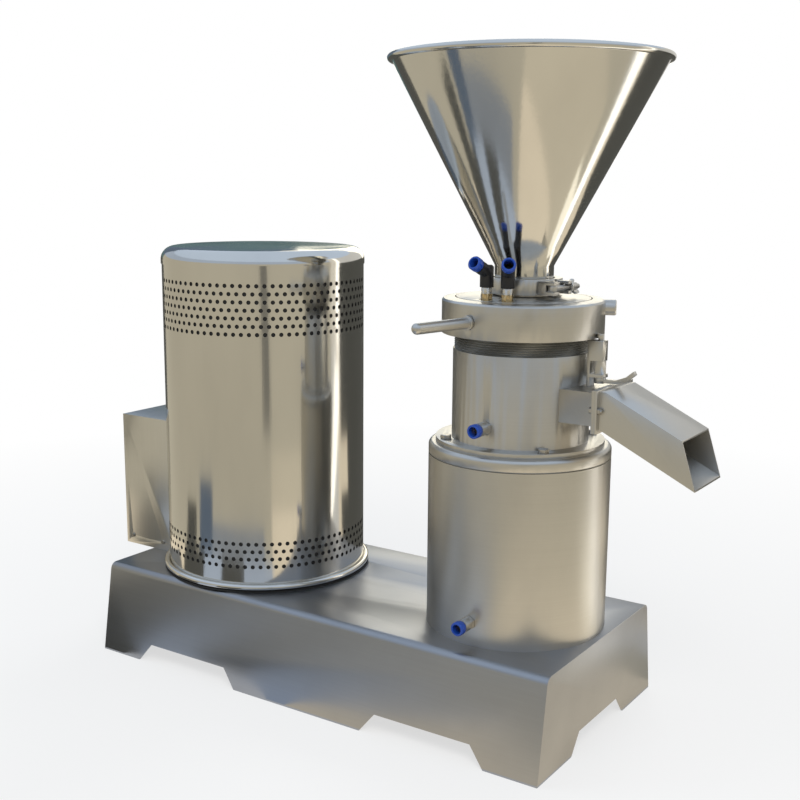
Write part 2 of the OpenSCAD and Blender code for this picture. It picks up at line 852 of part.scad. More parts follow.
module seal_ring() {
    z = chamber_z + chamber_floor + seal_gap;
    r = spindle_d / 2 + fit;
    h = paddle_z - z;
    color("dimgray") at_mill(z) revolve([
        [r, 0], [r + 8, 0], [r + 8, 4], [r + 13, 4], [r + 13, h - 4], [r + 10, h], [r, h]
    ]);
}

// Passage from the chamber through the stub to the chute
module outlet_passage() {
    translate([mill_x + chamber_in_r / 2, chute_sheet - outlet_w / 2, stub_z + chute_sheet])
        cube([stub_end, outlet_w - 2 * chute_sheet, stub_h - 2 * chute_sheet]);
}

module grinding_chamber() {
    color("silver") difference() {
        at_mill(chamber_z) union() {
            cylinder(r = chamber_flange_r, h = chamber_flange_t);
            cylinder(r = chamber_r, h = chamber_h);
            translate([0, 0, -chamber_spigot_h])
                cylinder(r = chamber_spigot_r, h = chamber_spigot_h + cut);
        }
        at_mill(chamber_z + chamber_floor) cylinder(r = chamber_in_r, h = chamber_h);
        at_mill(chamber_z + chamber_floor - seal_seat_h) cylinder(r = seal_seat_r, h = chamber_h);
        at_mill(chamber_z - 2 * chamber_spigot_h) cylinder(r = seal_bore_r, h = chamber_h);
        chamber_bolt_places(chamber_z - cut)
            cylinder(d = chamber_bolt[0] + 2 * fit, h = 2 * chamber_flange_t);
        outlet_passage();
        on_wall(chamber_r, fitting_angle, chamber_fitting_z)
            translate([0, 0, -chamber_wall + 4]) cylinder(r = stem_r + fit, h = 2 * chamber_wall);
    }
}

module chamber_bolts() {
    color("silver") chamber_bolt_places(chamber_z + chamber_flange_t)
        hex_bolt(chamber_bolt, chamber_flange_t + bolt_grip);
}

module thread_collar() {
    color("dimgray") at_mill(collar_z) ring(collar_r, chamber_in_r + 0.5, collar_h);
}

module flange_bolt_places(x) {
    for (side = [-1, 1])
        translate([x, side * flange_bolt_y, stub_z + stub_h / 2]) rotate([0, -90, 0]) children();
}

module flange_plate(x) {
    translate([x, -flange_w / 2, flange_z]) cube([flange_t, flange_w, flange_h]);
}

module flange_holes() {
    flange_bolt_places(chute_x + cut)
        cylinder(d = flange_bolt[0] + 2 * fit, h = 2 * flange_t + 2 * cut);
}

module outlet_stub() {
    color("silver") difference() {
        union() {
            translate([mill_x, -outlet_w / 2, stub_z]) cube([stub_end, outlet_w, stub_h]);
            flange_plate(flange_x);
        }
        at_mill() cylinder(r = chamber_r + fit, h = collar_z);
        outlet_passage();
        flange_holes();
    }
}

// Side outline of the chute; inset draws its inside, run on past both ends
module chute_outline(inset) {
    t = tan(chute_slope);
    lift = inset / cos(chute_slope);
    past = inset > 0 ? cut : 0;
    floor_len = chute_top_len + chute_beak + 20 * past;
    top_len = chute_top_len + 20 * past;
    polygon([
        [-past, lift + past * t], [-past, chute_h - inset], [chute_flat, chute_h - inset],
        [top_len, chute_h - lift - (top_len - chute_flat) * t], [floor_len, lift - floor_len * t]
    ]);
}

module chute_body(inset) {
    w = outlet_w - 2 * inset;
    translate([chute_x, w / 2, chute_z]) rotate([90, 0, 0]) linear_extrude(w) chute_outline(inset);
}

module chute() {
    color("silver") difference() {
        union() {
            chute_body(0);
            flange_plate(chute_x - flange_t);
        }
        chute_body(chute_sheet);
        translate([flange_x + flange_t - cut, chute_sheet - outlet_w / 2, stub_z + chute_sheet])
            cube([flange_t + 2 * cut, outlet_w - 2 * chute_sheet, stub_h - 2 * chute_sheet]);
        flange_holes();
    }
}

module chute_bolts() {
    color("silver") flange_bolt_places(flange_x)
        hex_bolt(flange_bolt, 2 * flange_t + flange_bolt[2] + 2);
    color("silver") flange_bolt_places(chute_x) mirror([0, 0, 1]) difference() {
        hex(flange_bolt[1] / sqrt(3), flange_bolt[2]);
        translate([0, 0, -cut]) cylinder(d = flange_bolt[0] + 2 * fit, h = 2 * flange_bolt[2]);
    }
}

// Radius of the rotor cone at height z
function cone_r(z) = rotor_low_d / 2 - (z - rotor_z) * rotor_taper;

// Slanted grooves cut about a cone surface, lying lift outside it, between two heights
module grooves(count, width, depth, slant, z0, z1, lift) {
    mid = (z0 + z1) / 2;
    for (i = [0 : count - 1])
        rotate([0, 0, i * 360 / count])
            translate([cone_r(mid) + lift, 0, mid])
                rotate([0, -atan(rotor_taper), 0])
                    rotate([slant, 0, 0])
                        cube([2 * depth, width, (z1 - z0) / cos(slant)], center = true);
}

// The coarse teeth lie above the fine ones; slant runs the other way on the stator
module tooth_grooves(side, lift) {
    split = rotor_z + rotor_h / 2;
    grooves(coarse_teeth, 9, 6, 22 * side, split + 4, rotor_top_z + 12, lift);
    grooves(fine_teeth, 4.5, 3.5, 14 * side, rotor_z - 12, split - 4, lift);
}

module rotor() {
    color("silver") at_mill() difference() {
        translate([0, 0, rotor_z]) cylinder(r1 = rotor_low_d / 2, r2 = rotor_top_d / 2, h = rotor_h);
        translate([0, 0, rotor_z - cut]) cylinder(r = rotor_seat_r + fit, h = rotor_h + 2 * cut);
        tooth_grooves(1, 0);
    }
}

module discharge_paddle() {
    color("silver") at_mill(paddle_z) difference() {
        union() {
            cylinder(r = rotor_seat_r + 14, h = paddle_h);
            for (a = [0 : 90 : 270])
                rotate([0, 0, a]) translate([rotor_seat_r + 10, -3, 6])
                    cube([chamber_in_r - rotor_seat_r - 16, 6, paddle_h - 10]);
        }
        translate([0, 0, -cut]) cylinder(r = rotor_seat_r + fit, h = paddle_h + 2 * cut);
    }
}

module feed_impeller() {
    hub_h = spindle_top_z - rotor_top_z + 4;
    color("silver") at_mill(rotor_top_z) difference() {
        union() {
            cylinder(r = rotor_seat_r + 2, h = hub_h);
            translate([0, 0, hub_h]) cylinder(r1 = rotor_seat_r + 2, r2 = 8, h = 12);
            for (a = [0 : 120 : 240])
                rotate([0, 0, a]) translate([rotor_seat_r - 4, 0, hub_h / 2])
                    rotate([25, 0, 0]) translate([0, -2, -hub_h / 2 + 3])
                        cube([inlet_r - rotor_seat_r - 4, 4, hub_h - 6]);
        }
        translate([0, 0, -cut]) cylinder(r = rotor_seat_r - 6 + fit, h = hub_h - 4 + cut + fit);
    }
}

module stator() {
    low_z = rotor_z + 6;
    bore_low = cone_r(low_z - cut) + grind_gap;
    bore_top = cone_r(cover_low_z + cut) + grind_gap;
    color("silver") at_mill() difference() {
        translate([0, 0, low_z]) cylinder(r = stator_r, h = cover_low_z - low_z);
        translate([0, 0, low_z - cut])
            cylinder(r1 = bore_low, r2 = bore_top, h = cover_low_z - low_z + 2 * cut);
        tooth_grooves(-1, grind_gap);
    }
}

// Ferrule flange of the clamp joint: flat face on z = 0, taper rising above it
module ferrule(bore_r, h) {
    revolve([
        [bore_r, 0], [ferrule_r, 0], [ferrule_r, ferrule_edge],
        [inlet_r, ferrule_edge + (ferrule_r - inlet_r) * ferrule_taper], [inlet_r, h], [bore_r, h]
    ]);
}

module head_cover() {
    bore_r = inlet_r - inlet_wall;
    tube_h = clamp_z - gasket_t / 2 - ring_top_z;
    color("silver") difference() {
        union() {
            at_mill(cover_low_z) cylinder(r = cover_boss_r, h = cover_boss_t + cut);
            at_mill(ring_top_z - cover_t) revolve([
                [bore_r - 2, 0], [cover_r, 0], [cover_r, cover_t + crown(cover_r)],
                [crown_flat_r, cover_t + crown(crown_flat_r)], [bore_r - 2, cover_t + crown(crown_flat_r)]
            ]);
            at_mill(ring_top_z + tube_h) mirror([0, 0, 1]) ferrule(bore_r, tube_h + cut);
        }
        at_mill(cover_low_z - cut) cylinder(r = bore_r, h = 2 * cover_t + cover_boss_t);
        nipple_places() cylinder(r = spot_face_r, h = cover_t);
        nipple_places() translate([0, 0, -stem_len]) cylinder(r = stem_r + fit, h = stem_len + cut);
    }
}

module ferrule_gasket() {
    color("white") at_mill(clamp_z - gasket_t / 2) ring(ferrule_r - 1, inlet_r - inlet_wall, gasket_t);
}

module hopper() {
    in_r = inlet_r - inlet_wall;
    mouth_r = mouth_d / 2;
    slope = (mouth_r - inlet_r) / cone_h;
    wall = inlet_wall * sqrt(1 + slope * slope);
    lip_start = 180 + atan(1 / slope);
    lip_turn = 360 - asin(inlet_wall / lip_r);
    lip_steps = 30;
    color("tan") at_mill() {
        revolve([
            [in_r, neck_z], [ferrule_r, neck_z], [ferrule_r, neck_z + ferrule_edge],
            [inlet_r, neck_z + ferrule_edge + (ferrule_r - inlet_r) * ferrule_taper], [inlet_r, cone_z],
            each [for (i = [0 : lip_steps]) let (a = lip_start + i * lip_turn / lip_steps)
                [mouth_r + lip_r * cos(a), lip_z + lip_r * sin(a)]],
            [in_r, cone_z + (in_r + wall - inlet_r) / slope]
        ]);
    }
}

// Clamp place: +X points out through the closing gap, z = 0 at the joint
module at_clamp() {
    at_mill(clamp_z) rotate([0, 0, clamp_angle]) children();
}

// Half of the clamp ring, on the +Y side of the closing gap
module clamp_arc() {
    edge = gasket_t / 2 + ferrule_edge + slack;
    groove_r = ferrule_r + 0.5;
    lip = edge + (groove_r - clamp_lip_r) * ferrule_taper;
    gap = asin(clamp_gap / clamp_r);
    rotate([0, 0, gap]) rotate_extrude(angle = 180 - 2 * gap) polygon([
        [clamp_r, -clamp_half_h], [clamp_r, clamp_half_h], [clamp_lip_r, clamp_half_h], [clamp_lip_r, lip],
        [groove_r, edge], [groove_r, -edge], [clamp_lip_r, -lip], [clamp_lip_r, -clamp_half_h]
    ]);
}

// Slot of the ears for the swing bolt, open to the outside
module bolt_slot() {
    translate([clamp_bolt_r - bolt_eye_r - 1, -60, -bolt_rod_r - 1]) cube([60, 120, 2 * bolt_rod_r + 2]);
}

module clamp_rear_half() {
    ear_x = clamp_r - 4;
    color("silver") at_clamp() difference() {
        union() {
            clamp_arc();
            translate([ear_x, clamp_gap + 1, -ear_w])
                cube([clamp_bolt_r + 7 - ear_x, nut_seat_t - clamp_gap - 1, 2 * ear_w]);
            for (s = [0, 1])
                mirror([0, 0, s]) translate([-hinge_r, 0, knuckle_r - 1]) cylinder(r = knuckle_r, h = 6);
            for (s = [0, 1])
                mirror([0, 0, s]) translate([-hinge_r, 0, knuckle_r - 1])
                    cube([hinge_r - clamp_r + 4, knuckle_r, 6]);
        }
        bolt_slot();
        translate([-hinge_r, 0, -clamp_half_h]) cylinder(r = hinge_pin_r + fit, h = 2 * clamp_half_h);
    }
}

module clamp_front_half() {
    ear_x = clamp_r - 9;
    ear_len = 16;
    color("silver") at_clamp() difference() {
        union() {
            mirror([0, 1, 0]) clamp_arc();
            translate([ear_x, pivot_t - ear_len / 2, -ear_w])
                cube([clamp_bolt_r + 8 - ear_x, ear_len, 2 * ear_w]);
            translate([-hinge_r, 0, 1 - knuckle_r + slack])
                cylinder(r = knuckle_r, h = 2 * (knuckle_r - 1 - slack));
            translate([-hinge_r, -knuckle_r, 1 - knuckle_r + slack])
                cube([hinge_r - clamp_r + 4, knuckle_r, 2 * (knuckle_r - 1 - slack)]);
        }
        bolt_slot();
        translate([clamp_bolt_r, pivot_t, -2 * ear_w]) cylinder(r = pivot_pin_r + fit, h = 4 * ear_w);
        translate([-hinge_r, 0, -clamp_half_h]) cylinder(r = hinge_pin_r + fit, h = 2 * clamp_half_h);
    }
}

module clamp_pins() {
    color("gray") at_clamp() {
        translate([clamp_bolt_r, pivot_t, -ear_w - 1]) cylinder(r = pivot_pin_r, h = 2 * ear_w + 2);
        translate([-hinge_r, 0, -clamp_half_h + 1]) cylinder(r = hinge_pin_r, h = 2 * clamp_half_h - 2);
    }
}

module swing_bolt() {
    color("silver") at_clamp() translate([clamp_bolt_r, pivot_t, 0]) difference() {
        union() {
            translate([0, 0, -bolt_rod_r]) cylinder(r = bolt_eye_r, h = 2 * bolt_rod_r);
            rotate([-90, 0, 0]) cylinder(r = bolt_rod_r, h = nut_seat_t - pivot_t + 28);
        }
        translate([0, 0, -2 * bolt_rod_r]) cylinder(r = pivot_pin_r + fit, h = 4 * bolt_rod_r);
    }
}

module wing_nut() {
    hub_h = 20;
    color("silver") at_clamp() translate([clamp_bolt_r, nut_seat_t + slack, 0])
    rotate([-90, 0, 0]) difference() {
        union() {
            cylinder(r = 9, h = 4);
            cylinder(r1 = 9, r2 = 7, h = hub_h);
            for (s = [0, 1])
                rotate([0, 0, 180 * s + 60]) translate([3, -2.5, 0]) rotate([90, 0, 0])
                    translate([0, 0, -5]) linear_extrude(5)
                        polygon([[0, 6], [7, 7], [10.5, 13], [9.8, 21], [6.5, 21.5], [3.5, 18], [0, 18]]);
        }
        translate([0, 0, -cut]) cylinder(r = bolt_rod_r + fit, h = 3 * hub_h);
    }
}

// Height of the low cone over the ring's seat level, at a radius
function crown(r) = (crown_seat_r - r) * tan(crown_slope);

module adjusting_ring() {
    counter_z = ring_top_z - cover_t - slack;
    color("silver") difference() {
        union() {
            at_mill(ring_z) revolve([
                [collar_r + slack, 0], [ring_r, 0], [ring_r, ring_h + crown(ring_r) - ring_bevel],
                [ring_r - ring_bevel, ring_h + crown(ring_r - ring_bevel)],
                [collar_r + slack, ring_h + crown(collar_r + slack)]
            ]);
            at_mill(counter_z - 10) ring(collar_r + 2, cover_boss_r + slack, 10);
            on_wall(ring_r, stub_angle, ring_top_z - 2 - side_stub_d / 2)
                translate([0, 0, -12]) cylinder(d = side_stub_d, h = side_stub_len + 12 - 2);
            on_wall(ring_r, stub_angle, ring_top_z - 2 - side_stub_d / 2)
                translate([0, 0, side_stub_len - 2]) cylinder(d1 = side_stub_d, d2 = side_stub_d - 4, h = 2);
        }
        at_mill(counter_z) cylinder(r = cover_r + slack, h = ring_h);
        on_wall(ring_r, bar_angle, bar_z)
            translate([0, 0, -bar_thread_len - fit])
                cylinder(d = bar_thread_d + 2 * fit, h = 2 * bar_thread_len);
    }
}

module handle_bar() {
    color("silver") on_wall(ring_r, bar_angle, bar_z) {
        translate([0, 0, -bar_thread_len]) cylinder(d = bar_thread_d, h = bar_thread_len + 2);
        translate([0, 0, slack]) cylinder(d = bar_root_d, h = bar_root_t);
        translate([0, 0, slack]) cylinder(d = bar_d, h = bar_len - bar_d / 2);
        translate([0, 0, bar_len - bar_d / 2]) sphere(d = bar_d);
    }
}

module lock_block() {
    top_z = ring_z - 3;
    block_z = top_z - lock_block_h;
    x0 = lock_x + 8 - lock_block_len;
    color("silver") difference() {
        union() {
            translate([x0, -lock_block_w / 2, block_z]) cube([lock_block_len, lock_block_w, lock_block_h]);
            translate([x0, -lock_block_w / 2, stub_z + stub_h])
                cube([lock_plate_t, lock_block_w, block_z - stub_z - stub_h + cut]);
            translate([lock_x, 0, lock_foot_z])
                cylinder(d = lock_block_w + 1, h = block_z - lock_foot_z + cut, $fn = 6);
            translate([x0, -lock_block_w / 2, lock_foot_z])
                cube([lock_block_len + 2, lock_block_w, lock_foot_t]);
        }
        translate([lock_x, 0, 0]) cylinder(r = lock_pin_r + fit, h = 2 * ring_z);
    }
}

// Cam pin with its lever; the lever runs out above the chute and turns up at its tip
module lock_lever() {
    hub_z = lock_foot_z - slack - 9;
    arm = 10;
    color("silver") translate([lock_x, 0, 0]) {
        translate([0, 0, hub_z]) cylinder(r = 10, h = 9);
        translate([0, 0, hub_z]) cylinder(r = lock_pin_r, h = ring_z + 2 - hub_z);
        translate([-lock_cam_lift, 0, ring_z + 1]) cylinder(r = lock_cam_r, h = 7);
        translate([0, arm / 2, hub_z + 1]) rotate([90, 0, 0]) linear_extrude(arm) polygon([
            [0, 0], [lever_reach * 0.5, 0], [lever_reach * 0.8, lever_rise * 0.4], [lever_reach, lever_rise],
            [lever_reach - 3, lever_rise + lever_t], [lever_reach * 0.75, lever_rise * 0.4 + lever_t],
            [lever_reach * 0.45, lever_t], [0, lever_t]
        ]);
    }
}

// Places of the two nipples on the head cover
module nipple_places() {
    for (p = elbow_places) elbow_place(p) children();
}

module elbow_place(p) {
    at_mill(ring_top_z) rotate([0, 0, p[0]]) translate([p[1], 0, 0]) children();
}

module head_nipples() {
    color("goldenrod") nipple_places() {
        translate([0, 0, -stem_len]) cylinder(r = stem_r, h = stem_len + cut);
        hex(nipple_hex[0], nipple_hex[1]);
        translate([0, 0, nipple_hex[1] - cut]) cylinder(r = nipple_hex[0] - 1, h = nipple_hex[2] + cut);
        translate([0, 0, nipple_hex[1]]) cylinder(r = elbow_stem_r, h = nipple_hex[2] + elbow_stem_len);
    }
}

// Outlet frame of an elbow: +Z runs out along its leg from the knee
module elbow_outlet(p) {
    elbow_place(p) translate([0, 0, elbow_z - ring_top_z + elbow_knee]) rotate([0, 0, p[2] - p[0]])
        rotate([0, 90 - elbow_tilt, 0]) children();
}

// Tube socket of a fitting, drilled from its mouth at z = 0 downwards
module tube_socket() {
    translate([0, 0, -sleeve_len]) cylinder(r = sleeve_r + slack, h = sleeve_len + cut);
    translate([0, 0, -sleeve_len - socket_len]) cylinder(d = tube_bore_d, h = socket_len + cut);
}

module elbow(p) {
    leg = elbow_leg + fitting_body_len;
    color("black") difference() {
        union() {
            elbow_place(p) translate([0, 0, elbow_z - ring_top_z + slack])
                cylinder(r = fitting_body_r, h = elbow_knee + elbow_crown - slack);
            elbow_place(p) translate([0, 0, elbow_z - ring_top_z + elbow_knee + elbow_crown])
                cylinder(r1 = fitting_body_r, r2 = fitting_body_r - 3, h = 3);
            elbow_outlet(p) cylinder(r = fitting_body_r - slack, h = leg);
        }
        elbow_place(p) cylinder(r = elbow_stem_r + fit, h = elbow_z - ring_top_z + elbow_stem_len + slack);
        elbow_outlet(p) translate([0, 0, leg]) tube_socket();
    }
}

// Release collar with its sleeve, mouth side up; z = 0 is the end of the fitting's body
module release_collar() {
    color("royalblue") difference() {
        union() {
            translate([0, 0, release_gap]) cylinder(d = release_d, h = release_len - 2);
            translate([0, 0, release_gap + release_len - 2])
                cylinder(d1 = release_d, d2 = release_d - 3, h = 2);
            translate([0, 0, release_gap - sleeve_len + slack]) cylinder(r = sleeve_r, h = sleeve_len);
        }
        translate([0, 0, -sleeve_len]) cylinder(d = tube_bore_d + slack, h = release_len + 2 * sleeve_len);
    }
}

module elbow_collar(p) {
    elbow_outlet(p) translate([0, 0, elbow_leg + fitting_body_len]) release_collar();
}

module left_elbow() {
    elbow(elbow_places[0]);
}

module right_elbow() {
    elbow(elbow_places[1]);
}

module left_elbow_collar() {
    elbow_collar(elbow_places[0]);
}

module right_elbow_collar() {
    elbow_collar(elbow_places[1]);
}

module straight_fitting(stem) {
    difference() {
        union() {
            translate([0, 0, -stem]) cylinder(r = stem_r, h = stem + cut);
            translate([0, 0, slack]) hex(hex_r, hex_t);
            translate([0, 0, hex_t]) cylinder(r = fitting_body_r, h = fitting_body_len);
        }
        translate([0, 0, hex_t + fitting_body_len]) tube_socket();
    }
}

module side_fittings() {
    color("silver") on_wall(chamber_r, fitting_angle, chamber_fitting_z) straight_fitting(stem_len);
    color("silver") on_wall(pedestal_d / 2, fitting_angle, pedestal_fitting_z)
        straight_fitting(pedestal_wall);
}

module chamber_collar() {
    on_wall(chamber_r, fitting_angle, chamber_fitting_z)
        translate([0, 0, hex_t + fitting_body_len]) release_collar();
}

module pedestal_collar() {
    on_wall(pedestal_d / 2, fitting_angle, pedestal_fitting_z)
        translate([0, 0, hex_t + fitting_body_len]) release_collar();
}

base_frame();
drive_plate();
hood_drum();
hood_cap();
hood_seal();
terminal_box();
terminal_cover();
cover_screws();
cable_gland();
motor_flange();
motor_frame();
fan_cowl();
motor_shaft();
motor_fan();
motor_pulley();
motor_bearings();
motor_bolts();
drive_belts();
bearing_housing();
lower_bearing_cap();
upper_bearing_cap();
spindle();
mill_pulley();
bearing_outer_rings();
bearing_inner_rings();
bearing_balls();
pedestal_shell();
pedestal_top();
seal_seat();
seal_ring();
grinding_chamber();
chamber_bolts();
thread_collar();
outlet_stub();
chute();
chute_bolts();
rotor();
discharge_paddle();
feed_impeller();
stator();
head_cover();
ferrule_gasket();
hopper();
clamp_rear_half();
clamp_front_half();
clamp_pins();
swing_bolt();
wing_nut();
adjusting_ring();
handle_bar();
lock_block();
lock_lever();
head_nipples();
left_elbow();
right_elbow();
left_elbow_collar();
right_elbow_collar();
side_fittings();
chamber_collar();
pedestal_collar();
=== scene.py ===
"""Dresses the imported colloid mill: vented hood, thread, eased edges, metal finishes and a studio."""

import json
import math

import bmesh
import bpy
from mathutils import Matrix, Vector


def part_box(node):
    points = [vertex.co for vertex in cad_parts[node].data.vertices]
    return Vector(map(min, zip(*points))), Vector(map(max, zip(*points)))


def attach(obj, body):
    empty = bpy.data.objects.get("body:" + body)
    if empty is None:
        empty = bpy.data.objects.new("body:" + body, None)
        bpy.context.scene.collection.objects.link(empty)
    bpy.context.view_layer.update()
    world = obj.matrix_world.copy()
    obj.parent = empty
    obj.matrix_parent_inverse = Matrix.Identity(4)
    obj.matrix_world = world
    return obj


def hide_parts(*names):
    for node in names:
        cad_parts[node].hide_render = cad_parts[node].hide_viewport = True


bl_info = {
    "name": "Colloid Mill Looks",
    "version": (1, 0, 0),
    "blender": (4, 5, 0),
    "location": "View3D > Sidebar > Mill",
    "description": "Finishes, vent holes, thread and studio for a colloid mill",
    "category": "Object",
}

MM = 0.001
FULL_TURN = 2 * math.pi

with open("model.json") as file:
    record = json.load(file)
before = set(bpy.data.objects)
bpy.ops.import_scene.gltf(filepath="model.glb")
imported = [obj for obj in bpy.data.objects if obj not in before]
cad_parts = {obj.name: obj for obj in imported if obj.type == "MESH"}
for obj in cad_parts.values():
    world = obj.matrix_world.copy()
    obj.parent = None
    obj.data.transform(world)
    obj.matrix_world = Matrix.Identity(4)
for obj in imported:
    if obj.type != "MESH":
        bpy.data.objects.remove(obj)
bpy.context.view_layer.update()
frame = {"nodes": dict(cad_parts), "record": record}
BODY_OF = {node: body
           for body, nodes in frame["record"]["behaviour"]["bodies"].items() for node in nodes}
SLOT_OF = {part["node"]: part["material_slot"] for part in frame["record"]["subparts"]}


def axis_of(node):
    """The point on the floor under the middle of a node."""
    low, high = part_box(node)
    return (low.x + high.x) / 2, (low.y + high.y) / 2


MOTOR_AXIS = axis_of("hood_cap")
MILL_AXIS = axis_of("hopper")


class Wire:
    """An output socket of a node tree; arithmetic on it adds Math nodes."""

    def __init__(self, tree, socket):
        self.tree = tree
        self.socket = socket

    def math(self, operation, first, second=0.0):
        return self.tree.add("ShaderNodeMath", {"operation": operation}, {0: first, 1: second})

    def __add__(self, other):
        return self.math("ADD", self, other)

    def __radd__(self, other):
        return self.math("ADD", other, self)

    def __sub__(self, other):
        return self.math("SUBTRACT", self, other)

    def __mul__(self, other):
        return self.math("MULTIPLY", self, other)

    def __truediv__(self, other):
        return self.math("DIVIDE", self, other)


class Tree:
    """Adds nodes to a shader or geometry tree."""

    def __init__(self, nodes):
        self.tree = nodes

    def add(self, kind, settings=None, sockets=None, out=0):
        node = self.tree.nodes.new(kind)
        for name, value in (settings or {}).items():
            if name == "stops":
                set_stops(node.color_ramp, value)
            else:
                setattr(node, name, value)
        for key, value in (sockets or {}).items():
            self.put(node.inputs[key], value)
        return Wire(self, node.outputs[out]) if node.outputs else None

    def put(self, socket, value):
        if isinstance(value, Wire):
            self.tree.links.new(value.socket, socket)
        else:
            socket.default_value = value


def set_stops(ramp, stops):
    """Gives a colour ramp its (position, grey) stops."""
    while len(ramp.elements) < len(stops):
        ramp.elements.new(1.0)
    for element, (position, grey) in zip(ramp.elements, stops):
        element.position = position
        element.color = (grey, grey, grey, 1.0)


class Finish(Tree):
    """A material under construction, on Object coordinates."""

    def __init__(self, name, colour, roughness, metallic=0.0):
        self.material = bpy.data.materials.new(name)
        self.material.use_nodes = True
        super().__init__(self.material.node_tree)
        self.shader = self.tree.nodes["Principled BSDF"]
        self.shader.inputs["Base Color"].default_value = (*colour, 1.0)
        self.shader.inputs["Roughness"].default_value = roughness
        self.shader.inputs["Metallic"].default_value = metallic

    def set(self, socket, value):
        self.put(self.shader.inputs[socket], value)

    def place(self, scale=(1.0, 1.0, 1.0), shift=(0.0, 0.0, 0.0)):
        spot = self.add("ShaderNodeTexCoord", out="Object")
        return self.add("ShaderNodeMapping", None, {"Vector": spot, "Location": shift, "Scale": scale})

    def noise(self, scale, detail=3.0, roughness=0.5, shift=(0.0, 0.0, 0.0)):
        """Noise with its own scale, in waves to the metre, along each axis."""
        return self.spot_noise(self.place(scale, shift), detail, roughness)

    def spot_noise(self, vector, detail, roughness):
        return self.add("ShaderNodeTexNoise", None,
                        {"Vector": vector, "Scale": 1.0, "Detail": detail, "Roughness": roughness})

    def ramp(self, value, *stops):
        return self.add("ShaderNodeValToRGB", {"stops": stops}, {"Fac": value})

    def blend(self, factor, first, second):
        return self.add("ShaderNodeMix", {"data_type": "RGBA"}, {0: factor, 6: first, 7: second}, out=2)

    def bump(self, height, distance, strength=1.0):
        self.set("Normal", self.add("ShaderNodeBump", None,
                                    {"Height": height, "Distance": distance, "Strength": strength}))

    def turned(self, axis, pitch):
        """A vector that changes fast along a lathe cut and slowly round the axis."""
        flat = self.place((1.0, 1.0, 0.0), (-axis[0], -axis[1], 0.0))
        radius = self.add("ShaderNodeVectorMath", {"operation": "LENGTH"}, {0: flat}, out="Value")
        spot = self.add("ShaderNodeSeparateXYZ", None, {0: self.place()})
        height = Wire(self, spot.socket.node.outputs["Z"])
        along = radius / pitch + height / pitch
        around = Wire(self, spot.socket.node.outputs["X"]) * AROUND_SCALE
        return self.add("ShaderNodeCombineXYZ", None, {0: along, 1: around, 2: radius * REACH_SCALE})


# Texture scales, in waves to the metre along X, Y and Z.
SMEAR_SCALE = (5.0, 5.0, 1.6)
BUFF_SCALE = (260.0, 260.0, 5.0)
WAVE_SCALE = (3.4, 3.4, 1.1)
WAVE_SHIFT = (0.3, 0.0, 0.0)
GRAIN_ALONG = (4.0, 260.0, 260.0)
GRAIN_UPRIGHT = (260.0, 260.0, 4.0)
CLOUD_SCALE = (6.0, 6.0, 6.0)
WEAR_SCALE = (9.0, 9.0, 5.0)
SCRATCH_SCALE = (420.0, 420.0, 60.0)
STAIN_SCALE = (40.0, 40.0, 40.0)
FADE_SCALE = (25.0, 25.0, 25.0)
SPECK_SCALE = (300.0, 300.0, 300.0)

# Lathe rings: their pitch, and how they drift round the axis and away from it.
LATHE_PITCH = 1.6 * MM
AROUND_SCALE = 6.0
REACH_SCALE = 40.0

# Depths of the bumps, and how sharply the nickel plate starts.
WAVE_DEPTH = 12.0 * MM
FINE_DEPTH = 0.1 * MM
PLATE_EDGE = 1500.0


def rgba(colour, shade=1.0):
    return (colour[0] * shade, colour[1] * shade, colour[2] * shade, 1.0)


def mirror_steel(name, colour):
    """Polished sheet: slow waves in the sheet, faint upright buffing marks and a few dull smears."""
    steel = Finish(name, colour, 0.08, metallic=1.0)
    smear = steel.noise(SMEAR_SCALE, detail=4.0)
    buff = steel.noise(BUFF_SCALE, detail=2.0)
    wave = steel.noise(WAVE_SCALE, detail=1.0, shift=WAVE_SHIFT)
    dull = steel.ramp(smear, (0.35, 0.0), (0.7, 1.0))
    steel.set("Base Color", steel.blend(dull, rgba(colour), rgba(colour, 0.86)))
    steel.set("Roughness", 0.05 + smear * 0.08 + buff * 0.06)
    steel.bump(wave + buff * 0.004, WAVE_DEPTH)
    return steel.material


def satin_sheet(name, colour, grain, roughness):
    """Sheet with a fine one-way grain and cloudy handling marks."""
    steel = Finish(name, colour, roughness, metallic=1.0)
    line = steel.noise(grain, detail=3.0, roughness=0.6)
    cloud = steel.noise(CLOUD_SCALE, detail=5.0, roughness=0.6)
    tone = steel.blend(line, rgba(colour, 0.92), rgba(colour, 1.04))
    mark = steel.ramp(cloud, (0.45, 0.0), (0.75, 0.5))
    steel.set("Base Color", steel.blend(mark, tone, rgba(colour, 0.88)))
    steel.set("Roughness", roughness - 0.06 + line * 0.06 + cloud * 0.1)
    steel.bump(line + cloud * 0.5, FINE_DEPTH, 0.15)
    return steel.material


def turned_steel(name, colour, roughness, axis):
    """Lathe-turned steel with fine rings and cloudy wear."""
    steel = Finish(name, colour, roughness, metallic=1.0)
    ring = steel.spot_noise(steel.turned(axis, LATHE_PITCH), detail=3.0, roughness=0.7)
    cloud = steel.noise(WEAR_SCALE, detail=5.0, roughness=0.6)
    tone = steel.blend(ring, rgba(colour, 0.92), rgba(colour, 1.04))
    wear = steel.ramp(cloud, (0.45, 0.0), (0.8, 0.5))
    steel.set("Base Color", steel.blend(wear, tone, rgba(colour, 0.82)))
    steel.set("Roughness", roughness - 0.06 + ring * 0.1 + cloud * 0.1)
    steel.bump(ring, FINE_DEPTH, 0.4)
    return steel.material


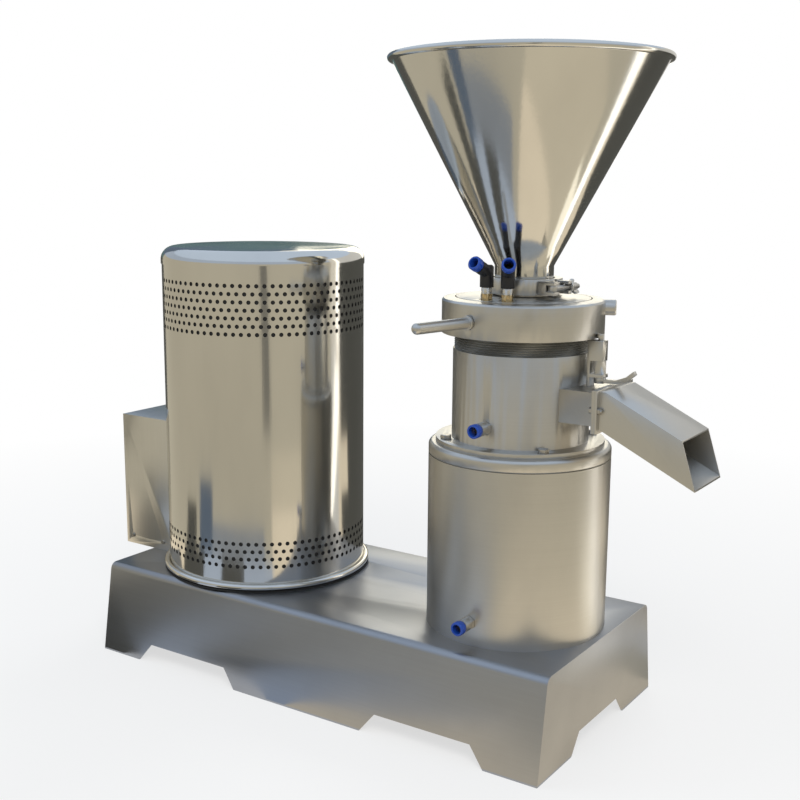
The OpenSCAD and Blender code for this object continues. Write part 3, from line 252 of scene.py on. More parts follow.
def worn_steel(name, colour, roughness):
    """Small bright parts: fine scratches every way."""
    steel = Finish(name, colour, roughness, metallic=1.0)
    scratch = steel.noise(SCRATCH_SCALE, detail=2.0)
    stain = steel.noise(STAIN_SCALE, detail=4.0)
    steel.set("Base Color", steel.blend(stain, rgba(colour, 0.75), rgba(colour, 1.08)))
    steel.set("Roughness", roughness - 0.05 + scratch * 0.1 + stain * 0.08)
    steel.bump(scratch, FINE_DEPTH, 0.4)
    return steel.material


def plain_coat(name, colour, roughness, grain, depth, metallic=0.0):
    """Paint, rubber, plastic or casting: an even colour with a fine skin and slight fading."""
    coat = Finish(name, colour, roughness, metallic)
    skin = coat.noise((grain, grain, grain), detail=3.0)
    fade = coat.noise(FADE_SCALE, detail=4.0)
    coat.set("Base Color", coat.blend(fade, rgba(colour, 0.8), rgba(colour, 1.15)))
    coat.set("Roughness", roughness - 0.07 + skin * 0.08 + fade * 0.08)
    coat.bump(skin, depth, 0.5)
    return coat.material


def plated_brass(name, brass, nickel, split):
    """Brass below a height, nickel plate above it."""
    metal = Finish(name, brass, 0.28, metallic=1.0)
    height = metal.add("ShaderNodeSeparateXYZ", None, {0: metal.place()}, out="Z")
    speck = metal.noise(SPECK_SCALE, detail=3.0)
    plate = metal.ramp((height - split) * PLATE_EDGE + speck * 0.6, (0.2, 0.0), (0.8, 1.0))
    metal.set("Base Color", metal.blend(plate, rgba(brass), rgba(nickel)))
    metal.set("Roughness", 0.18 + speck * 0.2)
    metal.bump(speck, FINE_DEPTH, 0.4)
    return metal.material


# Points of a generated mesh that are nearer than this become one.
WELD = 0.02 * MM


class GeoTree(Tree):
    """A geometry tree with named inputs, turned into a plain mesh."""

    def __init__(self, name, inputs):
        nodes = bpy.data.node_groups.new(name, "GeometryNodeTree")
        nodes.interface.new_socket("Geometry", in_out="OUTPUT", socket_type="NodeSocketGeometry")
        self.inputs = {}
        for label, value in inputs.items():
            kind = "NodeSocketInt" if isinstance(value, int) else "NodeSocketFloat"
            socket = nodes.interface.new_socket(label, in_out="INPUT", socket_type=kind)
            self.inputs[label] = (socket.identifier, value)
        super().__init__(nodes)
        self.entry = nodes.nodes.new("NodeGroupInput")

    def given(self, label):
        return Wire(self, self.entry.outputs[label])

    def join(self, *parts):
        node = self.add("GeometryNodeJoinGeometry")
        for part in parts:
            self.tree.links.new(part.socket, node.socket.node.inputs[0])
        return node

    def position(self):
        spot = self.add("ShaderNodeSeparateXYZ", None, {0: self.add("GeometryNodeInputPosition")})
        return [Wire(self, output) for output in spot.socket.node.outputs]

    def vector(self, x, y, z):
        return self.add("ShaderNodeCombineXYZ", None, {0: x, 1: y, 2: z})

    def wrap(self, geometry, radius, middle, turn_radius):
        """Rolls a flat sheet in X and Y round an upright axis at middle."""
        x, y, _ = self.position()
        turn = x / turn_radius
        rolled = self.vector(middle[0] + radius * turn.math("COSINE", turn),
                             middle[1] + radius * turn.math("SINE", turn), y)
        return self.add("GeometryNodeSetPosition", None, {"Geometry": geometry, "Position": rolled})

    def make(self, name, geometry, material):
        """Welds, smooths and paints the geometry, and returns it as an object with a plain mesh."""
        whole = self.add("GeometryNodeMergeByDistance", None, {"Geometry": geometry, "Distance": WELD})
        smooth = self.add("GeometryNodeSetShadeSmooth", None, {0: whole})
        solid = self.add("GeometryNodeRealizeInstances", None, {0: smooth})
        dressed = self.add("GeometryNodeSetMaterial", None, {"Geometry": solid, "Material": material})
        leave = self.tree.nodes.new("NodeGroupOutput")
        self.tree.links.new(dressed.socket, leave.inputs[0])
        maker = new_object(name, bpy.data.meshes.new(name))
        modifier = maker.modifiers.new("Shape", "NODES")
        modifier.node_group = self.tree
        for identifier, value in self.inputs.values():
            modifier[identifier] = value
        made = evaluated_mesh(maker)
        maker.modifiers.remove(modifier)
        made.materials.clear()
        made.materials.append(material)
        made.polygons.foreach_set("material_index", [0] * len(made.polygons))
        maker.data = made
        return maker


def new_object(name, mesh):
    thing = bpy.data.objects.new(name, mesh)
    bpy.context.scene.collection.objects.link(thing)
    return thing


def evaluated_mesh(thing):
    """A new mesh with an object's modifiers worked in."""
    bpy.context.view_layer.update()
    return bpy.data.meshes.new_from_object(thing.evaluated_get(bpy.context.evaluated_depsgraph_get()))


def apply_modifiers(thing):
    """Turns an object's modifiers into plain mesh."""
    made = evaluated_mesh(thing)
    thing.modifiers.clear()
    thing.data = made


def thicken(thing, wall):
    """Gives a sheet its wall, inwards."""
    modifier = thing.modifiers.new("Wall", "SOLIDIFY")
    modifier.thickness = wall
    modifier.offset = -1.0
    apply_modifiers(thing)


def mesh_from(name, edit, material):
    """Ends a mesh edit as a new mesh of one material."""
    mesh = bpy.data.meshes.new(name)
    edit.to_mesh(mesh)
    edit.free()
    mesh.materials.append(material)
    return mesh


# Edges sharper than these angles, in degrees, stay sharp in the shading.
SHEET_CREASE = 35.0
TURNED_CREASE = 30.0
THREAD_CREASE = 60.0
EASED_CREASE = 40.0


def ease_shading(thing, degrees):
    thing.data.shade_smooth()
    thing.data.set_sharp_from_angle(angle=math.radians(degrees))


def settle(thing, node):
    """The piece rides where its CAD node does, and stands for it."""
    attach(thing, BODY_OF[node])
    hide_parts(node)


class MillSizes(bpy.types.PropertyGroup):
    """Sizes of the details that the looks add."""

    vent_diameter: bpy.props.FloatProperty(
        name="Vent hole", description="Diameter of a vent hole", default=8.0 * MM, unit="LENGTH")
    vents_per_row: bpy.props.IntProperty(
        name="Vents per row", description="Vent holes round the hood in one row", default=84)
    vent_pitch: bpy.props.FloatProperty(
        name="Row pitch", description="Height between rows of vents", default=15.0 * MM, unit="LENGTH")
    upper_rows: bpy.props.IntProperty(
        name="Upper rows", description="Rows of vents in the upper band", default=7)
    lower_rows: bpy.props.IntProperty(
        name="Lower rows", description="Rows of vents in the lower band", default=4)
    upper_drop: bpy.props.FloatProperty(
        name="Upper drop", description="From the hood's shoulder down to the first row",
        default=34.0 * MM, unit="LENGTH")
    lower_rise: bpy.props.FloatProperty(
        name="Lower rise", description="From the foot of the hood up to the lowest row",
        default=45.0 * MM, unit="LENGTH")
    hood_sheet: bpy.props.FloatProperty(
        name="Hood sheet", description="Thickness of the hood's sheet",
        default=1.5 * MM, unit="LENGTH")
    rim_radius: bpy.props.FloatProperty(
        name="Rim radius", description="Radius of the hood's rolled rim",
        default=6.0 * MM, unit="LENGTH")
    thread_pitch: bpy.props.FloatProperty(
        name="Thread pitch", description="Rise of the adjusting thread in one turn",
        default=4.0 * MM, unit="LENGTH")
    thread_depth: bpy.props.FloatProperty(
        name="Thread depth", description="Depth of the adjusting thread",
        default=2.2 * MM, unit="LENGTH")
    turned_steps: bpy.props.IntProperty(
        name="Turned steps", description="Facets round a turned sheet piece", default=192)
    # The sleeve behind the vents is painted shade: a dark sheet where the inside of the hood lies in
    # shade.
    shade_sleeve_gap: bpy.props.FloatProperty(
        name="Gauze gap", description="Gap between the hood's sheet and the gauze behind its vents",
        default=0.6 * MM, unit="LENGTH")
    edge_break: bpy.props.FloatProperty(
        name="Edge break", description="Width of the eased edges of machined pieces",
        default=0.7 * MM, unit="LENGTH")


class MillColours(bpy.types.PropertyGroup):
    """Colours of the finishes."""

    polished: bpy.props.FloatVectorProperty(
        name="Polished steel", description="Tint of the mirror-polished sheet",
        subtype="COLOR", size=3, default=(0.66, 0.645, 0.61))
    satin: bpy.props.FloatVectorProperty(
        name="Satin steel", description="Tint of the turned pieces",
        subtype="COLOR", size=3, default=(0.57, 0.555, 0.525))
    base: bpy.props.FloatVectorProperty(
        name="Base sheet", description="Tint of the folded base",
        subtype="COLOR", size=3, default=(0.365, 0.375, 0.4))
    thread: bpy.props.FloatVectorProperty(
        name="Thread", description="Tint of the threaded collar",
        subtype="COLOR", size=3, default=(0.3, 0.3, 0.29))
    brass: bpy.props.FloatVectorProperty(
        name="Brass", description="Colour of the bare brass", subtype="COLOR", size=3,
        default=(0.66, 0.5, 0.27))
    nickel: bpy.props.FloatVectorProperty(
        name="Nickel", description="Colour of the nickel plate", subtype="COLOR", size=3,
        default=(0.66, 0.64, 0.6))
    blue: bpy.props.FloatVectorProperty(
        name="Blue plastic", description="Colour of the release collars",
        subtype="COLOR", size=3, default=(0.012, 0.06, 0.36))
    black: bpy.props.FloatVectorProperty(
        name="Black plastic", description="Colour of the elbows and the gland",
        subtype="COLOR", size=3, default=(0.012, 0.012, 0.014))
    motor: bpy.props.FloatVectorProperty(
        name="Motor paint", description="Colour of the motor inside the hood",
        subtype="COLOR", size=3, default=(0.05, 0.13, 0.2))


def sizes():
    return bpy.context.scene.mill_sizes


def colours():
    return bpy.context.scene.mill_colours


# The nipples are bare brass up to just above their hexagons, and plated from there up.
NIPPLE_SEAT = 22.5 * MM
BRASS_RISE = 10.5 * MM
NIPPLE_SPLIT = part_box("head_cover")[0].z + NIPPLE_SEAT + BRASS_RISE


def finish(slot):
    """The material of a record slot, made once."""
    name = "finish_" + slot
    if name in bpy.data.materials:
        return bpy.data.materials[name]
    tint = colours()
    coats = {
        "plate_steel": {"colour": (0.06, 0.065, 0.07), "roughness": 0.5, "grain": 300.0,
                        "depth": 0.2 * MM},
        "motor_paint": {"colour": tint.motor, "roughness": 0.38, "grain": 500.0, "depth": 0.2 * MM},
        "cast": {"colour": (0.1, 0.1, 0.1), "roughness": 0.5, "grain": 400.0, "depth": 0.4 * MM,
                 "metallic": 0.7},
        "black_rubber": {"colour": (0.012, 0.012, 0.012), "roughness": 0.65, "grain": 500.0,
                         "depth": 0.2 * MM},
        "gasket_white": {"colour": (0.7, 0.68, 0.62), "roughness": 0.5, "grain": 500.0,
                         "depth": FINE_DEPTH},
        "seal_face": {"colour": (0.05, 0.05, 0.05), "roughness": 0.3, "grain": 500.0,
                      "depth": FINE_DEPTH},
        "black_plastic": {"colour": tint.black, "roughness": 0.4, "grain": 700.0, "depth": 0.2 * MM},
        "blue_plastic": {"colour": tint.blue, "roughness": 0.28, "grain": 600.0, "depth": FINE_DEPTH},
    }
    if slot in coats:
        return plain_coat(name, **coats[slot])
    metals = {
        "polished_steel": lambda: mirror_steel(name, tint.polished),
        "satin_base": lambda: satin_sheet(name, tint.base, GRAIN_ALONG, roughness=0.36),
        "terminal_sheet": lambda: satin_sheet(name, tint.polished, GRAIN_UPRIGHT, roughness=0.3),
        "satin_steel": lambda: turned_steel(name, tint.satin, roughness=0.3, axis=MILL_AXIS),
        "thread_steel": lambda: turned_steel(name, tint.thread, roughness=0.42, axis=MILL_AXIS),
        "shaft_steel": lambda: turned_steel(name, (0.5, 0.5, 0.49), roughness=0.25, axis=MILL_AXIS),
        "bearing_steel": lambda: worn_steel(name, (0.6, 0.6, 0.6), roughness=0.15),
        "bolt_steel": lambda: worn_steel(name, (0.5, 0.48, 0.45), roughness=0.25),
        "brass": lambda: plated_brass(name, tint.brass, tint.nickel, NIPPLE_SPLIT),
    }
    return metals[slot]()


class MILL_OT_finishes(bpy.types.Operator):
    """Gives every CAD piece its own finish"""

    bl_idname = "mill.finishes"
    bl_label = "Finishes"

    def execute(self, context):
        for node, thing in frame["nodes"].items():
            thing.data.materials.clear()
            thing.data.materials.append(finish(SLOT_OF[node]))
        return {"FINISHED"}


def torus(mesh_edit, middle, ring_radius, tube_radius, height, around, across):
    """Adds a rolled bead, a tube bent to a ring, to a mesh being edited."""
    loops = []
    for i in range(around):
        turn = FULL_TURN * i / around
        loop = []
        for j in range(across):
            tilt = FULL_TURN * j / across
            reach = ring_radius + tube_radius * math.cos(tilt)
            loop.append(mesh_edit.verts.new((middle[0] + reach * math.cos(turn),
                                             middle[1] + reach * math.sin(turn),
                                             height + tube_radius * math.sin(tilt))))
        loops.append(loop)
    for i in range(around):
        here, there = loops[i], loops[(i + 1) % around]
        for j in range(across):
            k = (j + 1) % across
            mesh_edit.faces.new((here[j], there[j], there[k], here[k]))


# The hood's wall stands this far inside the cap's skirt; the rest is how finely it is cut into faces.
CAP_GAP = 0.05 * MM
HOLE_FACETS = 16
RIM_FACETS = 20
EDGE_BAND_ROWS = 3
MIDDLE_BAND_ROWS = 25


class MILL_OT_vented_hood(bpy.types.Operator):
    """Rolls a vented sheet into the motor hood"""

    bl_idname = "mill.vented_hood"
    bl_label = "Vented hood"

    def execute(self, context):
        size = sizes()
        low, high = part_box("hood_drum")
        cap_low, cap_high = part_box("hood_cap")
        radius = (cap_high.x - cap_low.x) / 2 - size.hood_sheet - CAP_GAP
        hood = self.wall(size, radius, low.z, high.z)
        self.add_rim(hood, size, radius, low.z)
        ease_shading(hood, SHEET_CREASE)
        settle(hood, "hood_drum")
        # The dark sleeve behind the vents is painted shade for the inside of the hood.
        self.shade_sleeve(size, radius, low.z, high.z)
        return {"FINISHED"}

    def wall(self, size, radius, foot, top):
        """The perforated wall, tiled flat and rolled round the motor."""
        tree = GeoTree("vented_sheet", {
            "Radius": radius, "Per Row": size.vents_per_row, "Hole": size.vent_diameter,
            "Pitch": size.vent_pitch, "Foot": foot, "Top": top,
            "Lower Row": foot + size.lower_rise, "Lower Rows": size.lower_rows,
            "Upper Row": top - size.upper_drop, "Upper Rows": size.upper_rows})
        reach, pitch = tree.given("Radius"), tree.given("Pitch")
        lower_rows, upper_rows = tree.given("Lower Rows"), tree.given("Upper Rows")
        cell = reach * FULL_TURN / tree.given("Per Row")
        tile = self.tile(tree, cell, pitch)
        lower = tree.given("Lower Row") + (lower_rows - 1) * pitch * 0.5
        upper = tree.given("Upper Row") - (upper_rows - 1) * pitch * 0.5
        lower_half = lower_rows * pitch * 0.5
        upper_half = upper_rows * pitch * 0.5
        sheet = tree.join(
            self.vents(tree, tile, cell, lower, lower_rows),
            self.vents(tree, tile, cell, upper, upper_rows),
            self.plain(tree, cell, tree.given("Foot"), lower - lower_half, EDGE_BAND_ROWS),
            self.plain(tree, cell, lower + lower_half, upper - upper_half, MIDDLE_BAND_ROWS),
            self.plain(tree, cell, upper + upper_half, tree.given("Top"), EDGE_BAND_ROWS))
        rolled = tree.wrap(sheet, reach, MOTOR_AXIS, reach)
        hood = tree.make("hood_vented", rolled, finish("polished_steel"))
        thicken(hood, size.hood_sheet)
        return hood

    @staticmethod
    def add_rim(hood, size, radius, foot):
        """The bead rolled at the foot of the wall."""
        edit = bmesh.new()
        edit.from_mesh(hood.data)
        torus(edit, MOTOR_AXIS, radius + size.rim_radius - size.hood_sheet / 2, size.rim_radius,
              foot + size.rim_radius, 2 * size.vents_per_row, RIM_FACETS)
        edit.to_mesh(hood.data)
        edit.free()

    @staticmethod
    def shade_sleeve(size, radius, foot, top):
        """A dark sleeve behind the vents: painted shade, a dark sheet standing where the inside of the
        hood lies in shade.
        """
        outer = radius - size.hood_sheet - size.shade_sleeve_gap
        inner = outer - size.shade_sleeve_gap
        low, high = foot + size.lower_rise / 2, top - size.upper_drop / 2
        edit = bmesh.new()
        outline = ((outer, low), (outer, high), (inner, high), (inner, low))
        lathe(edit, MOTOR_AXIS, outline, True, size.vents_per_row)
        bmesh.ops.recalc_face_normals(edit, faces=edit.faces)
        shade_sleeve = new_object("vent_shade_sleeve", mesh_from("vent_shade_sleeve", edit, finish("black_rubber")))
        ease_shading(shade_sleeve, SHEET_CREASE)
        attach(shade_sleeve, BODY_OF["hood_drum"])

    @staticmethod
    def tile(tree, cell, pitch):
        """One flat tile of sheet with its hole."""
        square = tree.add("GeometryNodeCurvePrimitiveQuadrilateral", None,
                          {"Width": cell, "Height": pitch})
        edge = tree.add("GeometryNodeSubdivideCurve", None, {"Curve": square, "Cuts": 1})
        hole = tree.add("GeometryNodeCurvePrimitiveCircle", None,
                        {"Resolution": HOLE_FACETS, "Radius": tree.given("Hole") * 0.5})
        return tree.add("GeometryNodeFillCurve", None, {"Curve": tree.join(edge, hole)})

    @staticmethod
    def vents(tree, tile, cell, middle, rows):
        """A band of tiles, every other row moved on by half a tile."""
        pitch = tree.given("Pitch")
        grid = tree.add("GeometryNodeMeshGrid", None, {
            "Size X": (tree.given("Per Row") - 1) * cell, "Size Y": (rows - 1) * pitch,
            "Vertices X": tree.given("Per Row"), "Vertices Y": rows})
        x, y, _ = tree.position()
        row = (y + (rows - 1) * pitch * 0.5) / pitch
        odd = row.math("MODULO", row.math("ROUND", row), 2.0)
        placed = tree.add("GeometryNodeSetPosition", None, {
            "Geometry": grid, "Position": tree.vector(x + odd * cell * 0.5, y + middle, 0.0)})
        spread = tree.add("GeometryNodeInstanceOnPoints", None, {"Points": placed, "Instance": tile})
        return tree.add("GeometryNodeRealizeInstances", None, {0: spread})

    @staticmethod
    def plain(tree, cell, low, high, rows):
        """A band of sheet with no holes."""
        grid = tree.add("GeometryNodeMeshGrid", None, {
            "Size X": tree.given("Per Row") * cell, "Size Y": high - low,
            "Vertices X": tree.given("Per Row") * 2 + 1, "Vertices Y": rows})
        x, y, _ = tree.position()
        return tree.add("GeometryNodeSetPosition", None, {
            "Geometry": grid, "Position": tree.vector(x, y + (low + high) * 0.5, 0.0)})


# Outline points that agree to this many digits of a metre are one point.
SPOT_DIGITS = 5


def profile_of(node):
    """The (radius, height) outline of a turned CAD node, chained from its mesh edges."""
    mesh = frame["nodes"][node].data
    middle = axis_of(node)
    spots = []
    for vertex in mesh.vertices:
        reach = math.hypot(vertex.co.x - middle[0], vertex.co.y - middle[1])
        spots.append((round(reach, SPOT_DIGITS), round(vertex.co.z, SPOT_DIGITS)))
    links = {}
    for edge in mesh.edges:
        first, second = (spots[i] for i in edge.vertices)
        if first != second:
            links.setdefault(first, set()).add(second)
            links.setdefault(second, set()).add(first)
    ends = sorted(spot for spot, near in links.items() if len(near) == 1)
    chain = [ends[0] if ends else min(links)]
    while True:
        ahead = [spot for spot in links[chain[-1]] if spot not in chain]
        if not ahead:
            return chain, not ends
        chain.append(min(ahead, key=lambda spot: math.dist(spot, chain[-1])))


def lathe(mesh_edit, middle, outline, closed, around):
    """Turns an outline round an upright axis; an open outline is capped at both ends."""
    turns = [FULL_TURN * i / around for i in range(around)]
    loops = [[mesh_edit.verts.new((middle[0] + reach * math.cos(turn),
                                   middle[1] + reach * math.sin(turn), height))
              for turn in turns] for reach, height in outline]
    pairs = list(zip(loops, loops[1:])) + ([(loops[-1], loops[0])] if closed else [])
    for here, there in pairs:
        for i in range(around):
            k = (i + 1) % around
            mesh_edit.faces.new((here[i], here[k], there[k], there[i]))
    if not closed:
        mesh_edit.faces.new(loops[0])
        mesh_edit.faces.new(loops[-1])


TURNED = ("hopper",)


class MILL_OT_round_sheet(bpy.types.Operator):
    """Turns the polished round pieces again with a finer outline"""

    bl_idname = "mill.round_sheet"
    bl_label = "Round sheet pieces"

    def execute(self, context):
        for node in TURNED:
            outline, closed = profile_of(node)
            edit = bmesh.new()
            lathe(edit, axis_of(node), outline, closed, sizes().turned_steps)
            bmesh.ops.recalc_face_normals(edit, faces=edit.faces)
            name = node + "_turned"
            piece = new_object(name, mesh_from(name, edit, finish(SLOT_OF[node])))
            ease_shading(piece, TURNED_CREASE)
            settle(piece, node)
        return {"FINISHED"}


# The thread's mesh: columns of points round it, steps in one pitch, and the wall behind it.
THREAD_COLUMNS = 145
THREAD_STEPS = 8
THREAD_WALL = 8.0 * MM


class MILL_OT_thread(bpy.types.Operator):
    """Cuts the adjusting thread on the collar"""

    bl_idname = "mill.thread"
    bl_label = "Adjusting thread"

    def execute(self, context):
        size = sizes()
        low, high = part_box("thread_collar")
        radius = (high.x - low.x) / 2
        turns = (high.z - low.z) / size.thread_pitch
        tree = GeoTree("cut_thread", {
            "Radius": radius, "Pitch": size.thread_pitch, "Depth": size.thread_depth,
            "Height": high.z - low.z, "Around": THREAD_COLUMNS,
            "Along": int(turns * THREAD_STEPS) + 1})
        reach, pitch = tree.given("Radius"), tree.given("Pitch")
        grid = tree.add("GeometryNodeMeshGrid", None, {
            "Size X": reach * FULL_TURN, "Size Y": tree.given("Height"),
            "Vertices X": tree.given("Around"), "Vertices Y": tree.given("Along")})
        x, y, _ = tree.position()
        lead = y / pitch - x / (reach * FULL_TURN)
        groove = lead.math("PINGPONG", lead, 0.5) * 2.0
        shaped = reach - groove * tree.given("Depth")
        # The groove is read from the flat sheet, so it is stored before the sheet is moved and rolled.
        store = tree.add("GeometryNodeStoreNamedAttribute", {"domain": "POINT", "data_type": "FLOAT"},
                         {"Geometry": grid, "Name": "reach", "Value": shaped})
        moved = tree.add("GeometryNodeSetPosition", None, {
            "Geometry": store, "Position": tree.vector(x, y + (low.z + high.z) / 2, 0.0)})
        stored = tree.add("GeometryNodeInputNamedAttribute", {"data_type": "FLOAT"}, {"Name": "reach"})
        rolled = tree.wrap(moved, stored, MILL_AXIS, reach)
        thread = tree.make("collar_thread", rolled, finish("thread_steel"))
        thicken(thread, THREAD_WALL)
        ease_shading(thread, THREAD_CREASE)
        settle(thread, "thread_collar")
        return {"FINISHED"}


EASED = (
    "base_frame", "terminal_box", "terminal_cover", "cable_gland", "pedestal_top",
    "grinding_chamber", "chamber_bolts", "outlet_stub", "chute", "chute_bolts", "adjusting_ring",
    "handle_bar", "lock_block", "lock_lever", "head_cover", "head_nipples", "clamp_rear_half",
    "clamp_front_half", "swing_bolt", "wing_nut", "left_elbow", "right_elbow",
    "left_elbow_collar", "right_elbow_collar", "side_fittings",
    "chamber_collar", "pedestal_collar")
# Before the edges are eased, points this near are joined and faces this flat, in degrees, become one.
NEAR = 0.01 * MM
FLAT = 0.5
EASED_STEPS = 2


class MILL_OT_eased_edges(bpy.types.Operator):
    """Breaks the sharp edges of the machined and folded pieces"""

    bl_idname = "mill.eased_edges"
    bl_label = "Eased edges"

    def execute(self, context):
        for node in EASED:
            edit = bmesh.new()
            edit.from_mesh(frame["nodes"][node].data)
            bmesh.ops.remove_doubles(edit, verts=edit.verts, dist=NEAR)
            bmesh.ops.dissolve_limit(edit, angle_limit=math.radians(FLAT),
                                     verts=edit.verts, edges=edit.edges)
            name = node + "_eased"
            mesh = mesh_from(name, edit, finish(SLOT_OF[node]))
            piece = new_object(name, mesh)
            bevel = piece.modifiers.new("Edge", "BEVEL")
            bevel.width = sizes().edge_break
            bevel.segments = EASED_STEPS
            bevel.limit_method = "ANGLE"
            bevel.angle_limit = math.radians(EASED_CREASE)
            bevel.harden_normals = True
            mesh.shade_smooth()
            apply_modifiers(piece)
            ease_shading(piece, EASED_CREASE)
            settle(piece, node)
        return {"FINISHED"}


# Camera fitted to the base corners, the hood, the ring and the hopper's rim, for an 800 by 800 image.
IMAGE = 800.0
FOCAL_PIXELS = 1169.06
SENSOR = 36.0
VIEW_AZIMUTH = math.radians(33.74)
VIEW_DROP = math.radians(10.7)
VIEW_ROLL = math.radians(0.44)
VIEW_TARGET = Vector((0.07445, 0.0, 0.55133))
VIEW_DISTANCE = 2.1948


def camera_frame():
    """Right, up and back directions of the fitted camera."""
    back = Vector((math.sin(VIEW_AZIMUTH) * math.cos(VIEW_DROP),
                   -math.cos(VIEW_AZIMUTH) * math.cos(VIEW_DROP), math.sin(VIEW_DROP)))
    right = Vector((math.cos(VIEW_AZIMUTH), math.sin(VIEW_AZIMUTH), 0.0))
    up = back.cross(right)
    turned_right = right * math.cos(VIEW_ROLL) + up * math.sin(VIEW_ROLL)
    turned_up = up * math.cos(VIEW_ROLL) - right * math.sin(VIEW_ROLL)
    return turned_right, turned_up, back


def seen_ray(tree):
    """1 for rays from the camera, or off or through something shiny."""
    path = tree.add("ShaderNodeLightPath")
    rays = [Wire(tree, path.socket.node.outputs[name])
            for name in ("Is Camera Ray", "Is Glossy Ray", "Is Transmission Ray")]
    return rays[0].math("MAXIMUM", rays[0].math("MAXIMUM", rays[0], rays[1]), rays[2])


# Half the floor's width, and the reach over which it fades to plain white, in metres.
FLOOR_HALF = 30.0
FLOOR_FADE = 3.0
WHITE = (1.0, 1.0, 1.0, 1.0)
COOL = (0.86, 0.93, 1.0, 1.0)

# Area lamps: name, place, aim, width, height, watts and colour.
LAMPS = (
    ("key", (1.9, -2.2, 3.0), (0.1, 0.0, 0.4), 1.6, 1.6, 60.0, (1.0, 0.96, 0.9)),
    ("fill", (-3.0, -1.8, 2.0), (0.0, 0.0, 0.4), 2.0, 2.0, 30.0, (0.8, 0.9, 1.0)),
    ("back", (-0.6, 2.8, 3.0), (0.0, 0.0, 0.6), 2.0, 1.4, 30.0, (1.0, 1.0, 1.0)))

# Degrees that one flat facet of a reflection card spans.
CARD_FACET = 6.0


def card_rows():
    """The reflection cards, glowing surfaces that paint reflections and highlights into the metal:
    wedges on the floor, tall screens far off and a ceiling.

    Each row is an axis, two azimuths in degrees, inner and outer reach, foot and head height, colour.
    """
    tan, sand, straw = (0.585, 0.54, 0.425), (0.98, 0.86, 0.66), (0.72, 0.65, 0.5)
    glare, blaze, dusk = (1.5, 1.4, 1.15), (2.2, 2.08, 1.75), (0.3, 0.33, 0.37)
    slate, pale, blue = (0.1, 0.1, 0.09), (0.9, 0.84, 0.72), (0.5, 0.58, 0.7)
    moss, navy, sky = (0.12, 0.19, 0.19), (0.13, 0.17, 0.23), (0.66, 0.78, 0.95)
    shade, sun, haze = (0.22, 0.21, 0.18), (2.2, 2.1, 1.9), (0.75, 0.74, 0.7)
    # The wedges lie just above the floor; the screens stand far off and reach up to the ceiling.
    lay, far, top = 3.0 * MM, 4.6, 3.2
    hood, mill = MOTOR_AXIS, MILL_AXIS
    return (
        (hood, -200.0, -148.0, 0.9, far, lay, lay, tan),
        (hood, -148.0, -132.0, 0.9, 1.35, lay, lay, slate),
        (hood, -148.0, -132.0, 1.35, far, lay, lay, tan),
        (hood, -132.0, -127.0, 0.9, far, lay, lay, tan),
        (hood, -127.0, -110.0, 0.9, 1.7, lay, lay, navy),
        (hood, -127.0, -110.0, 1.7, far, lay, lay, tan),
        (hood, -110.0, -53.0, 0.9, 1.2, lay, lay, dusk),
        (hood, -110.0, -53.0, 1.2, far, lay, lay, tan),
        (hood, -53.0, -45.0, 0.9, 2.6, lay, lay, tan),
        (hood, -53.0, -45.0, 2.6, far, lay, lay, shade),
        (hood, -45.0, 19.0, 0.3, 1.4, lay, lay, sand),
        (hood, -45.0, 19.0, 1.4, 2.2, lay, lay, straw),
        (hood, -45.0, 19.0, 2.2, far, lay, lay, tan),
        (hood, 19.0, 27.0, 0.7, far, lay, lay, tan),
        (hood, 27.0, 36.0, 0.7, far, lay, lay, haze),
        (hood, 36.0, 41.0, 0.7, far, lay, lay, sand),
        (hood, 41.0, 54.0, 0.3, 1.4, lay, lay, slate),
        (hood, 41.0, 54.0, 1.4, 2.2, lay, lay, sand),
        (hood, 41.0, 54.0, 2.2, far, lay, lay, slate),
        (hood, 54.0, 160.0, 0.3, far, lay, lay, slate),
        (hood, -74.0, -45.0, 0.3, 0.9, lay, lay, blue),
        (hood, -98.0, -74.0, 0.3, 0.9, lay, lay, slate),
        (hood, -120.0, -98.0, 0.3, 0.9, lay, lay, blue),
        (hood, -152.0, -120.0, 0.3, 0.9, lay, lay, slate),
        (hood, -200.0, -152.0, 0.3, 0.9, lay, lay, sand),
        (hood, -200.0, -53.0, far, far, lay, 0.55, tan),
        (hood, -200.0, -53.0, far, far, 0.55, 1.6, tan),
        (hood, -200.0, -53.0, far, far, 1.6, top, blue),
        (hood, -53.0, -45.0, far, far, lay, 1.0, shade),
        (hood, -45.0, 27.0, far, far, lay, 1.0, tan),
        (hood, -53.0, 27.0, far, far, 1.0, 1.6, tan),
        (hood, -53.0, 27.0, far, far, 1.6, top, blue),
        (hood, 27.0, 36.0, far, far, lay, top, pale),
        (hood, 36.0, 41.0, far, far, lay, top, sun),
        (hood, 41.0, 100.0, far, far, lay, 1.0, slate),
        (hood, 41.0, 100.0, far, far, 1.0, top, haze),
        (hood, 100.0, 160.0, far, far, lay, 0.85, slate),
        (hood, 100.0, 118.0, far, far, 0.85, top, blaze),
        (hood, 118.0, 160.0, far, far, 0.85, 1.3, moss),
        (hood, 118.0, 128.0, far, far, 1.3, top, blaze),
        (hood, 128.0, 160.0, far, far, 1.3, top, navy),
        (hood, -200.0, 160.0, 0.0, far, top, top, sky),
        # Round the mill, two bright wedges paint the highlight band on the pedestal.
        (mill, 22.0, 37.0, 0.62, 1.3, 2.0 * lay, 2.0 * lay, glare),
        (mill, 37.0, 47.0, 0.62, 3.6, 2.0 * lay, 2.0 * lay, sun))


